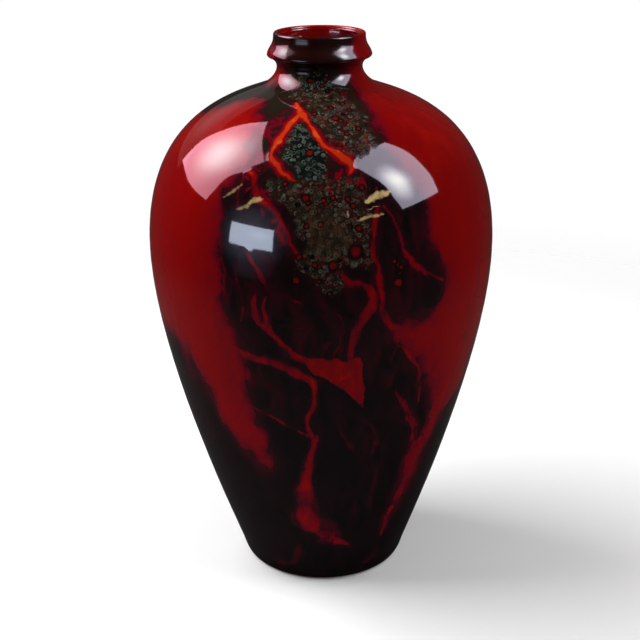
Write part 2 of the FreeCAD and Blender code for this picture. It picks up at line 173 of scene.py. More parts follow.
# Seen from above, azimuth 0 is the front, which faces the camera, and it grows to the right.
# A vein is a lane, how hot it starts and ends, and its places: azimuth in degrees, level and half
# width in millimetres. Veins of one lane keep well apart from each other.
VEINS = {
    "orange_fork": (0, 0.94, 0.9, [
        (-17.5, 270, 1.0), (-13, 267, 1.9), (-7, 264, 2.0), (-1.6, 259, 1.9), (3.7, 254.3, 2.1),
        (9, 250.4, 2.3), (11.5, 247.5, 2.0), (9.5, 244, 1.0)]),
    "left_fork": (1, 0.94, 0.88, [
        (-13, 266, 1.9), (-15.4, 262, 3.2), (-17.4, 258, 2.8), (-19.2, 253.4, 1.9), (-18.6, 250, 1.9),
        (-15.8, 247, 2.0), (-13.4, 243.8, 1.8), (-8.8, 241.6, 0.7)]),
    "fork_shade": (2, 0.7, 0.62, [(8.6, 256.5, 0.8), (10.8, 254, 1.4), (13.5, 250.5, 0.9)]),
    "right_tear": (1, 0.66, 0.7, [(19.7, 258, 0.7), (20, 254, 1.0), (19.4, 250.5, 0.6)]),
    "speckle_smear": (2, 0.6, 0.5, [(7.6, 246, 0.8), (5.6, 241, 1.3), (6.4, 235.5, 0.8)]),
    "left_runner": (2, 0.84, 0.62, [
        (-27, 243.6, 0.9), (-24.3, 242.4, 1.4), (-22.6, 237.4, 1.4), (-20.6, 232.9, 1.5), (-16, 230.2, 1.5),
        (-13.2, 225.3, 1.3), (-10.4, 219.2, 1.1), (-9.2, 213.6, 1.1), (-6.6, 207.4, 1.5)]),
    "left_edge": (3, 0.62, 0.5, [(-27, 243, 0.8), (-28.6, 235, 0.9), (-27.4, 227, 0.6)]),
    "long_vein": (0, 0.66, 0.64, [
        (18.3, 230, 1.1), (17, 222, 1.4), (15.6, 214, 1.4), (15.4, 208, 1.2), (16.8, 202, 1.2),
        (17.7, 193, 1.3), (18, 186, 1.4), (18.6, 177, 1.7), (20.8, 171, 2.4), (25, 166.6, 3.4),
        (30, 162, 3.6), (36, 158, 2.0)]),
    "notch_thread": (2, 0.62, 0.5, [
        (22, 163, 0.8), (25.6, 157.6, 1.2), (29.6, 150, 1.4), (33.4, 142, 1.5), (35.6, 132, 1.4),
        (36.6, 120, 1.0)]),
    "right_branch": (1, 0.6, 0.62, [
        (20.4, 229, 0.8), (23.3, 221.7, 1.0), (24.7, 214.5, 1.0), (26.4, 206.5, 1.1), (29.6, 199.4, 1.3),
        (34.4, 193.6, 1.4), (40.5, 188.6, 1.2)]),
    "middle_drip": (2, 0.6, 0.74, [
        (4.6, 200, 0.9), (8.6, 195.2, 2.0), (12.6, 193.5, 2.6), (15, 189, 2.9), (15.5, 184.4, 2.9),
        (13.6, 177.6, 2.6), (11, 171, 2.3), (9.5, 164, 2.0), (8.8, 154, 2.2)]),
    "left_net": (0, 0.62, 0.8, [
        (-20.2, 187, 1.2), (-20.7, 180, 1.8), (-19.6, 174, 2.2), (-16.6, 169.2, 2.5), (-13.2, 165, 2.1),
        (-10.4, 159.4, 1.8), (-7.3, 155.4, 1.8), (-3, 152.4, 2.1)]),
    "left_net_twin": (3, 0.5, 0.74, [
        (-17.2, 187, 0.8), (-17.7, 181, 1.0), (-17.2, 175, 1.0), (-15.6, 169.6, 0.8)]),
    "low_bridge": (1, 0.68, 0.72, [
        (-31, 158, 3.2), (-26, 153.8, 3.0), (-20, 151.4, 3.0), (-14, 149.6, 2.7), (-9, 145.9, 2.3),
        (-4.2, 141.6, 2.1), (-3, 137.4, 1.6), (-2.7, 131, 1.3), (-3.6, 124, 1.1), (-5.6, 116, 1.0),
        (-4, 107.5, 1.5)]),
    "dark_thread": (3, 0.44, 0.4, [
        (1.4, 183.4, 0.8), (4.8, 179.6, 1.1), (6.5, 172, 1.1), (5.8, 164, 1.0), (3.4, 156, 1.2)]),
    "dark_thread_twin": (1, 0.36, 0.46, [(-0.6, 167, 0.7), (1.4, 160.4, 1.1), (3.6, 155, 1.0)]),
    "dark_level": (2, 0.34, 0.3, [(-13, 172, 0.7), (-7, 170.8, 1.0), (-1, 171.8, 0.7)]),
    "low_thread": (2, 0.5, 0.5, [
        (-26, 123.4, 1.1), (-21, 119.6, 1.2), (-14, 115, 1.2), (-7.6, 110, 1.2), (-2.2, 105, 1.8)]),
    "tongue": (0, 0.66, 0.56, [
        (-2.4, 107, 1.9), (-3.4, 101, 1.4), (-4.8, 94, 1.6), (-5.8, 87, 2.4), (-7, 79, 3.8), (-8.4, 70, 5.0),
        (-9, 61, 6.0), (-8, 52, 7.6), (-4.6, 44, 8.8), (0.5, 37.6, 8.0), (7, 32, 5.2), (15, 27, 1.6)]),
    "low_mark": (2, 0.42, 0.36, [(15.6, 61, 0.7), (15.2, 56, 1.4), (15.8, 52, 0.8)]),
    "small_thread": (1, 0.42, 0.4, [(5, 120, 0.7), (6, 112, 1.2), (8.6, 104, 1.3), (12, 97, 0.9)]),
    "right_streak": (3, 0.46, 0.56, [
        (25, 131, 0.9), (29, 123, 1.8), (32.6, 114, 3.4), (36.4, 105, 4.0), (39.4, 94, 4.6), (41.6, 82, 5.0),
        (42, 70, 4.8), (40, 59, 4.4), (37, 48, 3.4), (35.8, 38, 2.4), (35, 28, 1.0)]),
    "foot_flare": (1, 0.34, 0.42, [
        (-31, 8.6, 1.4), (-24, 11, 2.0), (-17.6, 15, 2.9), (-14.6, 21.6, 2.5), (-14, 28, 1.0)]),
    "foot_flare_right": (1, 0.36, 0.3, [(29, 8.4, 1.6), (33.6, 13.6, 2.6), (36.4, 20, 1.2)]),
    "pale_slip": (3, 0.62, 0.48, [(-23.6, 211, 0.8), (-21.2, 204, 1.7), (-18, 197, 1.5), (-16.6, 193, 0.7)]),
    "pale_slip_twin": (1, 0.42, 0.36, [(-25.4, 206, 0.7), (-25.5, 200.6, 1.0), (-24.8, 195, 0.6)]),
    "cell_mark": (2, 0.46, 0.5, [(-27, 200, 0.6), (-25.6, 190, 1.3), (-24.6, 181, 1.0), (-25.4, 172, 0.6)]),
    "cell_mark_low": (1, 0.4, 0.48, [(-12, 190, 0.6), (-9.6, 186.4, 1.2), (-6, 184.6, 0.8)]),
    "level_mark": (2, 0.42, 0.34, [(22.4, 214, 0.5), (27, 211, 0.8), (32, 212, 0.5)]),
    "low_curl": (2, 0.36, 0.44, [(13, 118, 0.6), (17, 112, 1.1), (20.6, 103, 1.0), (20, 93, 0.7)]),
    "low_haze": (3, 0.3, 0.36, [(22, 82, 0.8), (23.6, 72, 1.5), (22, 62, 1.1), (24, 53, 0.6)]),
    # Round the back, where the streaks are this vase's own.
    "back_runner": (0, 0.86, 0.6, [
        (166, 268, 1.2), (170, 258, 1.8), (176, 246, 1.6), (174, 232, 1.4), (180, 216, 1.3), (186, 198, 1.6),
        (183, 180, 1.9), (188, 160, 2.4)]),
    "back_fork": (1, 0.8, 0.6, [
        (178, 262, 0.9), (186, 250, 1.4), (195, 238, 1.5), (199, 222, 1.3), (207, 204, 1.2),
        (213, 186, 1.6)]),
    "back_bridge": (2, 0.66, 0.6, [
        (158, 196, 1.6), (164, 186, 2.2), (172, 176, 1.8), (180, 168, 1.9), (190, 158, 2.2),
        (202, 150, 2.8)]),
    "back_tongue": (0, 0.58, 0.52, [
        (187, 132, 1.0), (185, 118, 1.8), (186, 100, 3.2), (190, 82, 4.6), (188, 64, 5.0), (182, 46, 3.6),
        (178, 34, 1.2)]),
    "back_thread": (3, 0.5, 0.42, [(168, 150, 0.8), (171, 136, 1.3), (169, 120, 1.2), (173, 102, 1.0)]),
    "side_tongue": (1, 0.6, 0.5, [
        (98, 128, 4.2), (96, 108, 5.2), (100, 88, 5.4), (104, 68, 4.2), (102, 50, 1.6)]),
    "side_tongue_left": (2, 0.6, 0.5, [
        (-92, 124, 3.8), (-95, 104, 5.2), (-90, 84, 4.8), (-93, 62, 3.0), (-96, 46, 1.2)]),
    "side_drip": (3, 0.5, 0.44, [(236, 116, 3.0), (240, 98, 4.0), (236, 78, 3.6), (238, 58, 1.4)]),
}

# Gold flecks: how strong each is, and its places.
FLECKS = [
    (0.5, [(-27.4, 227.4, 0.4), (-24.2, 229, 0.9)]),
    (0.7, [(-23.8, 230.4, 0.7), (-21.6, 232, 1.2), (-19.2, 232.8, 0.7)]),
    (1.0, [(14.8, 231.8, 0.8), (18.6, 233.9, 1.6), (22.8, 234.8, 0.9)]),
    (0.8, [(11.6, 223.9, 0.4), (15.2, 225, 0.7), (19.8, 225.6, 0.4)]),
    (0.9, [(8.3, 228, 0.5), (8.4, 226.4, 0.5)]),
    (0.35, [(-33.8, 231.2, 0.3), (-30, 235, 0.5), (-27.6, 238.2, 0.3)]),
    (0.6, [(172, 240, 0.5), (177, 242.4, 1.1), (181, 242, 0.5)]),
    (0.5, [(190, 228, 0.4), (194, 229.6, 0.8)]),
]

# Patches: corners as azimuth and level.
PATCHES = {
    # Dark glaze on the front, and the dark run at the back. The band round the left of the neck's root, on
    # the shoulder, is painted shade where the shoulder turns from the light.
    "dark": [
        [
            (-70, 301), (-74, 295), (-58, 291), (-56, 288), (-50, 283), (-48, 277), (-62, 273.6), (-92, 273),
            (-132, 272), (-120, 263), (-102, 259), (-87, 260.5), (-77, 264.2), (-68, 267.8), (-57, 269.8),
            (-44, 270), (-34, 266), (-29.6, 258), (-28.6, 249), (-30, 241), (-33, 226), (-32, 206),
            (-30.8, 194), (-30.4, 182), (-29, 172), (-26.4, 162), (-24.8, 154), (-24.4, 143), (-24.6, 132),
            (-23, 119), (-21, 108), (-19.6, 96), (-19.6, 84), (-23, 74), (-24, 40), (30, 38), (33, 50),
            (34.4, 62), (35, 82), (37, 92), (41.4, 101), (42.4, 110), (40.6, 118), (37.6, 129), (34.6, 139),
            (30, 147.6), (25, 156), (20.8, 162), (21, 169), (25, 172), (30, 172), (35, 174), (38, 179),
            (39, 186), (38.6, 195), (36, 206), (34, 216), (34.4, 226), (32, 238), (27, 248), (25, 257),
            (27, 263), (30, 270), (36, 276), (33, 282), (38, 289), (32, 294), (34, 301)],
        [
            (158, 262), (154, 244), (149, 224), (152, 204), (149, 184), (154, 166), (160, 148), (162, 128),
            (158, 108), (160, 90), (212, 90), (216, 110), (212, 132), (218, 152), (224, 172), (222, 194),
            (214, 212), (208, 230), (198, 246), (186, 262), (172, 268)],
    ],
    # The arrowhead low on the front.
    "arrow": [
        [
            (-5, 154), (2.3, 154), (7.8, 153), (11, 154.6), (12.8, 151), (13.4, 141.6), (13.9, 134),
            (14.4, 124.6), (11.6, 128.6), (8.9, 133), (5.6, 137.4), (2, 142), (-0.6, 145), (-3.6, 146)],
    ],
    # Grey-green bubbles in blue black: inside the fork, on the neck and at the back.
    "bubbled": [
        [
            (-14.4, 251.4), (-12.2, 261), (-9.7, 264), (-4.6, 259), (0, 254.6), (2, 251), (0.4, 244.4),
            (-2.8, 242), (-7, 243.2), (-12, 247.6)],
        [(-14, 276), (-12, 281), (-6, 283), (2, 282.6), (8, 280), (10, 276.4), (0, 275.4), (-8, 275.4)],
        [(184, 250), (190, 240), (196, 228), (192, 220), (186, 232), (181, 244)],
    ],
    # Crystal speckle on the shoulder, under the neck and at the back.
    "speckled": [
        [
            (-19, 239.4), (-14.5, 235), (-11.5, 231), (-9.4, 225), (-7, 219), (-4.6, 213), (-7.3, 204),
            (-3.3, 199), (-0.3, 193.7), (2, 188.6), (4.6, 193), (6.6, 198.6), (10, 202), (14.4, 203.6),
            (15, 212), (15.6, 222), (14.6, 232), (13, 241), (7, 243.6), (1, 241.4), (-4, 240.8), (-9, 243),
            (-15, 242.4)],
        [(-29, 278), (-27, 271.6), (-8, 271), (13, 271), (17, 275), (10, 278), (-8, 278.4), (-20, 280)],
        [(-9, 268), (-6, 274), (18, 274), (25, 266), (24, 257), (19, 251), (12, 252), (4, 259), (-2, 264)],
        [(172, 250), (178, 238), (186, 226), (193, 216), (188, 204), (178, 208), (170, 222), (166, 238)],
    ],
    # Tan breaks in the speckle.
    "tan": [
        [(-5, 225), (-4, 212), (-2, 206), (3, 204), (7, 207), (8, 216), (6, 224), (1, 227.6)],
        [(176, 232), (180, 222), (186, 216), (188, 224), (182, 234)],
    ],
    # Dry, matt scum of crystals on the front of the neck.
    "matt": [
        [(-36, 299.4), (-4, 299.4), (-3, 290), (-20, 288.8), (-38, 290)],
        [(-34, 285), (-4, 285), (-4, 279), (-20, 277), (-30, 279)],
    ],
    # Where red clouds the dark glaze.
    "clouded": [
        [
            (-31, 263), (-24, 269), (-13, 270), (-10.6, 263), (-14, 254), (-17, 246), (-22, 242), (-27, 246),
            (-29.6, 255)],
        [
            (-29, 244), (-22, 243), (-17, 238), (-13, 231), (-10, 221), (-11, 212), (-16, 222), (-21, 229),
            (-28, 234)],
        [(0, 259), (5, 254), (9, 249), (15, 247), (20, 250), (24, 258), (22, 266), (14, 256), (6, 260)],
        [
            (-24, 278), (-25, 270), (-8, 268), (10, 270), (24, 268), (30, 273), (24, 277), (12, 272),
            (-10, 272), (-18, 280)],
        [(3, 246), (1, 238), (8, 234), (14, 236), (17, 244), (10, 248)],
        [(164, 258), (172, 262), (182, 252), (188, 240), (184, 228), (176, 232), (168, 244)],
    ],
}
# Top of the dark glaze that gathers above the foot, all the way round. Where it rises towards the sides, near
# the vase's outline, it is partly painted shade.
GATHERED_AND_EDGE_SHADE = [
    (-180, 104), (-160, 112), (-140, 98), (-118, 92), (-100, 112), (-80, 132), (-64, 150), (-54, 146),
    (-46, 124), (-41, 104), (-35, 90), (-28, 79), (-10, 74), (20, 80), (31, 86), (33.4, 60), (35, 36),
    (38, 28), (41, 36), (46, 52), (50, 66), (52.4, 84), (56, 96), (64, 108), (72, 120), (84, 136), (96, 126),
    (116, 108), (140, 116), (160, 100), (180, 104)]
# Ring spots, each a red heart in a dark ring: azimuth, level and radius.
SPOTS = [
    (-4.9, 234, 2.2), (10.3, 230.3, 2.0), (11.7, 220.3, 2.1), (10.4, 209, 3.8), (3.4, 203.3, 2.3),
    (-2, 203.7, 1.6), (-7.6, 196, 2.2), (23.6, 192.3, 2.2), (22.4, 203, 1.5), (24.6, 199.6, 1.2),
    (14, 238, 2.0), (18.9, 237, 1.6), (-4, 252.6, 2.0), (8.3, 265, 2.0), (12.2, 259.6, 1.6),
    (-12.6, 278.6, 1.9), (2.6, 276.4, 1.7), (-6.6, 207.4, 1.7), (6, 233, 1.4), (1.6, 231.6, 1.3),
    (-9, 278.4, 1.4), (183, 228, 2.2), (176, 214, 2.6), (190, 212, 1.8), (174, 244, 1.8)]

# The attributes that hold the veins, one for each lane.
LANES = ("vein_a", "vein_b", "vein_c", "vein_d")
# Millimetres: how far from a vein's middle and a spot's edge a place is written down, and what stands
# for further.
VEIN_REACH = 14.0
SPOT_REACH = 8.0
FAR_OFF = 40.0
# Millimetres round the wall for a degree of azimuth, roughly.
MM_A_DEGREE = 1.5
# How fast a vein thins out past its ends, and well to its side, for each millimetre.
END_TAPER = 0.8
SIDE_TAPER = 2
# Pairs of places compared at once, which keeps the memory small.
PAIRS_AT_ONCE = 2000000

# How finely a curve and an arc of the outline are drawn before they are cut into even steps.
CURVE_POINTS = 200
ARC_POINTS = 60
# Corners nearer than the weld are made one, and edges shorter than a sliver go.
WELD = 0.004 * MM
SLIVER = 0.001 * MM
# Steps of each stretch of the outline: on the face of a coat, and on its back against the clay.
OUTER_STEPS = (8, 94, 112, 16, 14, 12, 16, 22)
OUTER_BACK_STEPS = (2, 12, 14, 6, 5, 5, 4, 6)
INNER_STEPS = (16, 8, 10, 40, 60, 10, 12)
INNER_BACK_STEPS = (6, 3, 5, 14, 20, 6, 6)

# Relief of the outer coat, in millimetres: the throwing rings, slow waves drawn at random from a seed,
# and how far the dark glaze, the veins and the rolled edge above the foot stand up.
RING_RISE = 0.02
SEED = 7
WAVES = 14
WAVE_RISE = 0.012
DARK_RISE = 0.05
VEIN_RISE = 0.07
EDGE_RISE = 0.22
# Levels in millimetres: where the rolled edge starts, is highest and ends, and between which all
# relief fades out under the lip.
EDGE_LEVELS = (1.6, 3.4, 10)
LIP_LEVELS = (292, 298)

# Object coordinates are in metres, and patterns are sized in millimetres: a scale of 1 / 8 is 8 mm.
METRE = 1000
# Crystal bubbles, the larger ones with a red heart, and the lines left by turning the foot.
BUBBLE = 1.9
HEARTED_BUBBLE = 4.6
TURNING = 1.2
WHITE = (1, 1, 1)
GLASS_IOR = 1.5
# Depth of the orange peel in a glossy glaze.
PEEL = 0.02 * MM
# Width of a drawn-out noise, of its length downwards, outside and in the liner.
RUN = 0.35
LINER_RUN = 0.3
# Noises in millimetres: whether it is drawn out downwards, size, detail, roughness, distortion.
NOISES = {
    "slow": (False, 9.0, 2.0, 0.45, 0.3),
    "swell": (False, 13.0, 1.0, 0.4, 0.0),
    "fine": (False, 2.4, 2.0, 0.5, 0.0),
    "blot": (False, 4.2, 3.0, 0.6, 0.4),
    "cloud": (False, 38.0, 4.0, 0.6, 0.0),
    "strand": (True, 7.0, 3.0, 0.55, 0.8),
    "wisp": (True, 24.0, 1.5, 0.5, 1.3),
    "veil": (True, 26.0, 2.5, 0.55, 0.5),
}

# The nodes used here: Blender's type, settings, inputs in the order in which add() takes their values,
# and the output that it gives back, or None for all of them. Any other name is an operation of a Math
# node.
RANGE_INPUTS = ("Value", "From Min", "From Max", "To Min", "To Max")
NODES = {
    "given": ("NodeGroupInput", {}, (), None),
    "result": ("NodeGroupOutput", {}, ("Geometry",), None),
    "grid": ("GeometryNodeMeshGrid", {}, ("Size X", "Size Y", "Vertices X", "Vertices Y"), "Mesh"),
    "position": ("GeometryNodeInputPosition", {}, (), "Position"),
    "object_info": ("GeometryNodeObjectInfo", {}, ("Object",), "Geometry"),
    "sample": ("GeometryNodeSampleIndex", {"data_type": "FLOAT_VECTOR"},
               ("Geometry", "Value", "Index"), "Value"),
    "set_position": ("GeometryNodeSetPosition", {}, ("Geometry", "Position"), "Geometry"),
    "merge": ("GeometryNodeMergeByDistance", {}, ("Geometry", "Distance"), "Geometry"),
    "shade_smooth": ("GeometryNodeSetShadeSmooth", {}, ("Geometry",), 0),
    "realize": ("GeometryNodeRealizeInstances", {}, ("Geometry",), "Geometry"),
    "set_material": ("GeometryNodeSetMaterial", {}, ("Geometry", "Material"), "Geometry"),
    "separate": ("ShaderNodeSeparateXYZ", {}, ("Vector",), None),
    "combine": ("ShaderNodeCombineXYZ", {}, ("X", "Y", "Z"), "Vector"),
    "vector_length": ("ShaderNodeVectorMath", {"operation": "LENGTH"}, (0,), "Value"),
    "vector_difference": ("ShaderNodeVectorMath", {"operation": "SUBTRACT"}, (0, 1), "Vector"),
    "vector_product": ("ShaderNodeVectorMath", {"operation": "MULTIPLY"}, (0, 1), "Vector"),
    "coordinates": ("ShaderNodeTexCoord", {}, (), "Object"),
    "mapping": ("ShaderNodeMapping", {}, ("Vector", "Scale"), "Vector"),
    "noise": ("ShaderNodeTexNoise", {}, ("Vector", "Scale", "Detail", "Roughness", "Distortion"), "Fac"),
    "cells": ("ShaderNodeTexVoronoi", {}, ("Vector", "Scale", "Randomness"), None),
    "drawn": ("ShaderNodeAttribute", {}, (), "Fac"),
    "drawn_vector": ("ShaderNodeAttribute", {}, (), "Vector"),
    "range": ("ShaderNodeMapRange", {}, RANGE_INPUTS, "Result"),
    "rise": ("ShaderNodeMapRange", {"interpolation_type": "SMOOTHSTEP"}, RANGE_INPUTS, "Result"),
    "mix": ("ShaderNodeMix", {}, ("Factor", "A", "B"), "Result"),
    "blend": ("ShaderNodeMix", {"data_type": "RGBA"}, ("Factor", "A", "B"), "Result"),
    "tones": ("ShaderNodeValToRGB", {}, (0,), "Color"),
    "bump": ("ShaderNodeBump", {}, ("Height", "Strength", "Distance"), "Normal"),
    "principled": ("ShaderNodeBsdfPrincipled", {},
                   ("Base Color", "Roughness", "Normal", "IOR", "Specular IOR Level"), "BSDF"),
    "material_output": ("ShaderNodeOutputMaterial", {}, ("Surface",), None),
    "light_output": ("ShaderNodeOutputLight", {}, ("Surface",), None),
    "world_output": ("ShaderNodeOutputWorld", {}, ("Surface",), None),
    "emission": ("ShaderNodeEmission", {}, ("Color", "Strength"), "Emission"),
    "background": ("ShaderNodeBackground", {}, ("Color", "Strength"), "Background"),
    "diffuse": ("ShaderNodeBsdfDiffuse", {}, ("Color",), "BSDF"),
    "transparent": ("ShaderNodeBsdfTransparent", {}, (), "BSDF"),
    "add_shader": ("ShaderNodeAddShader", {}, (0, 1), "Shader"),
    "mix_shader": ("ShaderNodeMixShader", {}, (0, 1, 2), "Shader"),
    "light_path": ("ShaderNodeLightPath", {}, (), None),
    "geometry": ("ShaderNodeNewGeometry", {}, (), None),
}


def in_use(sockets, key):
    """A socket by its number, or by its name among those that the node's settings leave in use."""
    if isinstance(key, int):
        return sockets[key]
    return next(socket for socket in sockets if socket.name == key and socket.enabled)


def add(tree, kind, *values, **settings):
    """Adds a node with its settings, and links its inputs to sockets or sets them to values, in order. A
    colour is given without its alpha."""
    maths = ("ShaderNodeMath", {"operation": kind}, (0, 1, 2), 0)
    blender_type, preset, keys, output = NODES.get(kind, maths)
    made = tree.nodes.new(blender_type)
    for name, value in {**preset, **settings}.items():
        setattr(made, name, value)
    for key, value in zip(keys, values):
        socket = in_use(made.inputs, key)
        if isinstance(value, bpy.types.NodeSocket):
            tree.links.new(value, socket)
        else:
            socket.default_value = (*value, 1) if socket.type == "RGBA" else value
    return made.outputs if output is None else in_use(made.outputs, output)


def emptied(owner):
    """Empties the node tree of a material, lamp or world, and gives back add() for that tree."""
    owner.use_nodes = True
    owner.node_tree.nodes.clear()
    return partial(add, owner.node_tree)


def set_tones(ramp, stops):
    """Sets the places and colours of a colour ramp."""
    while len(ramp.elements) < len(stops):
        ramp.elements.new(1.0)
    for element, (at, tone) in zip(ramp.elements, stops):
        element.position = at
        element.color = (*tone, 1)


def cubic(start, start_pull, end_pull, end):
    """A cubic curve as many points, each across and up."""
    t = np.linspace(0, 1, CURVE_POINTS)[:, None]
    first, second, third, last = (np.array(place, float) for place in (start, start_pull, end_pull, end))
    return (1 - t) ** 3 * first + 3 * t * (1 - t) ** 2 * second + 3 * t ** 2 * (1 - t) * third + t ** 3 * last


def arc(centre, radius, start, end):
    """An arc between two angles, from level."""
    turn = np.linspace(start, end, ARC_POINTS)[:, None]
    return np.array(centre, float) + radius * np.hstack([np.cos(turn), np.sin(turn)])


def evenly(points, count):
    """Places spread evenly along a line of points, with both its ends."""
    points = np.array(points, float)
    along = np.r_[0, np.cumsum(np.linalg.norm(np.diff(points, axis=0), axis=1))]
    at = np.linspace(0, along[-1], count)
    return np.column_stack([np.interp(at, along, column) for column in points.T])


def chained(lines, steps):
    """Lines of points, each cut into its number of steps, as one line."""
    cut = [evenly(points, count + 1) for points, count in zip(lines, steps, strict=True)]
    return np.vstack([cut[0]] + [line[1:] for line in cut[1:]])


def directions(shape):
    """Unit steps across and up: straight up, up the wall above the foot, and in along the shoulder and
    out of it at the neck."""
    up = np.array([0, 1])
    lean_up = np.array([sin(shape.foot_lean), cos(shape.foot_lean)])
    slope_in = np.array([-cos(shape.shoulder_slope), sin(shape.shoulder_slope)])
    slope_out = np.array([sin(shape.shoulder_slope), cos(shape.shoulder_slope)])
    return up, lean_up, slope_in, slope_out


def outer_face(shape, depth, steps):
    """The outside from the wiped foot over the ridge and round the lip, at a depth under the glaze."""
    s = shape
    up, lean_up, slope_in, slope_out = directions(shape)
    belly_level = s.height * s.belly_share
    edge = s.foot_edge + s.coat - depth
    edge_centre = np.array([s.foot_radius - s.foot_edge - s.coat, s.foot_edge])
    wiped = -np.arcsin((s.foot_edge - s.glaze_line) / edge)
    foot = edge_centre + edge * np.array([cos(s.foot_lean), -sin(s.foot_lean)])
    belly = np.array([s.belly_radius - depth, belly_level])
    root = np.array([s.neck_radius + s.root_reach, s.height - s.root_drop]) - depth * slope_out
    throat = np.array([s.neck_radius - depth, s.height - s.throat_drop])
    nose = s.ridge_round - depth
    nose_centre = np.array([s.neck_radius + s.ridge_reach - s.ridge_round, s.height - s.ridge_drop])
    under = nose_centre + nose * np.array([sin(s.under_slope), -cos(s.under_slope)])
    face = nose_centre + nose * np.array([cos(s.face_lean), sin(s.face_lean)])
    lip_centre = np.array([s.neck_radius + s.rim_reach - s.lip_round, s.height - s.lip_round])
    rim = lip_centre + [s.lip_round - depth, 0]
    rise = s.height - s.root_drop - belly_level
    neck_rise = s.root_drop - s.throat_drop
    cove_rise = s.throat_drop - s.ridge_drop
    underside = np.array([cos(s.under_slope), sin(s.under_slope)])
    face_up = np.array([-sin(s.face_lean), cos(s.face_lean)])
    lines = [
        arc(edge_centre, edge, wiped, -s.foot_lean),
        cubic(foot, foot + s.wall_foot_share * belly_level * lean_up,
              belly - s.wall_belly_share * belly_level * up, belly),
        cubic(belly, belly + s.shoulder_belly_share * rise * up,
              root - s.shoulder_root_share * rise * slope_in, root),
        cubic(root, root + s.neck_root_share * neck_rise * slope_in,
              throat - s.neck_throat_share * neck_rise * up, throat),
        cubic(throat, throat + s.cove_throat_share * cove_rise * up,
              under - s.cove_ridge_share * cove_rise * underside, under),
        arc(nose_centre, nose, s.under_slope - pi / 2, s.face_lean),
        cubic(face, face + s.face_ridge_share * s.ridge_drop * face_up,
              rim - s.face_lip_share * s.ridge_drop * up, rim),
        arc(lip_centre, s.lip_round - depth, 0, pi),
    ]
    return chained(lines, steps)


def inner_face(shape, depth, steps):
    """The inside from the lip down to the middle of the floor, at a depth under the glaze."""
    s = shape
    up, lean_up, slope_in, slope_out = directions(shape)
    belly_level = s.height * s.belly_share
    rim = np.array([s.neck_radius + s.rim_reach - 2 * s.lip_round + depth, s.height - s.lip_round])
    bore_top = np.array([s.neck_radius - s.throat_wall + depth, s.height - s.mouth_depth])
    bore_foot = bore_top - s.bore_length * up
    root = np.array([s.neck_radius + s.root_reach, s.height - s.root_drop]) + (depth - s.wall) * slope_out
    belly = np.array([s.belly_radius - s.wall + depth, belly_level - s.seam_drop])
    corner_centre = np.array([s.foot_radius - s.floor_inset - s.floor_round, s.floor_level + s.floor_round])
    corner = s.floor_round + depth
    corner_top = corner_centre + corner * np.array([cos(s.foot_lean), -sin(s.foot_lean)])
    corner_foot = corner_centre - corner * up
    flare = s.mouth_depth - s.lip_round
    throat_rise = s.height - s.mouth_depth - s.bore_length - (s.height - s.root_drop) + s.wall
    rise = s.height - s.root_drop - belly_level
    lines = [
        cubic(rim, rim - s.flare_lip_share * flare * up,
              bore_top + s.flare_bore_share * flare * up, bore_top),
        [bore_top, bore_foot],
        cubic(bore_foot, bore_foot - s.throat_bore_share * throat_rise * up,
              root + s.throat_root_share * throat_rise * slope_in, root),
        cubic(root, root - s.shoulder_root_share * rise * slope_in,
              belly + s.shoulder_belly_share * rise * up, belly),
        cubic(belly, belly - s.wall_belly_share * belly_level * up,
              corner_top + s.wall_foot_share * belly_level * lean_up, corner_top),
        arc(corner_centre, corner, -s.foot_lean, -pi / 2),
        [corner_foot, [0, corner_foot[1]]],
    ]
    return chained(lines, steps)


def wheel_tree():
    """The tree that turns an outline round the upright axis."""
    tree = bpy.data.node_groups.new("Turned on the wheel", "GeometryNodeTree")
    for name, kind in (("Outline", "Object"), ("Rows", "Int"), ("Sides", "Int"), ("Crowding", "Float"),
                       ("Weld", "Float"), ("Glaze", "Material")):
        tree.interface.new_socket(name, in_out="INPUT", socket_type=f"NodeSocket{kind}")
    tree.interface.new_socket("Geometry", in_out="OUTPUT", socket_type="NodeSocketGeometry")
    node = partial(add, tree)
    given = node("given")
    grid = node("grid", 1.0, 1.0, node("ADD", given["Sides"], 1.0), given["Rows"])
    place = node("separate", node("position"))

    # A column's turn round the axis, crowded towards the front, and the outline's place for a row.
    row = node("MULTIPLY", node("ADD", place["Y"], 0.5), node("SUBTRACT", given["Rows"], 1.0))
    turn = node("MULTIPLY", place["X"], 2 * pi)
    turn = node("SUBTRACT", turn, node("MULTIPLY", node("SINE", turn), given["Crowding"]))
    outline = node("object_info", given["Outline"])
    taken = node("separate", node("sample", outline, node("position"), node("ROUND", row)))

    across = node("MULTIPLY", node("SINE", turn), taken["X"])
    towards_back = node("MULTIPLY", node("MULTIPLY", node("COSINE", turn), taken["X"]), -1.0)
    body = node("set_position", grid, node("combine", across, towards_back, taken["Z"]))
    body = node("shade_smooth", node("merge", body, given["Weld"]))
    node("result", node("set_material", node("realize", body), given["Glaze"]))
    return tree


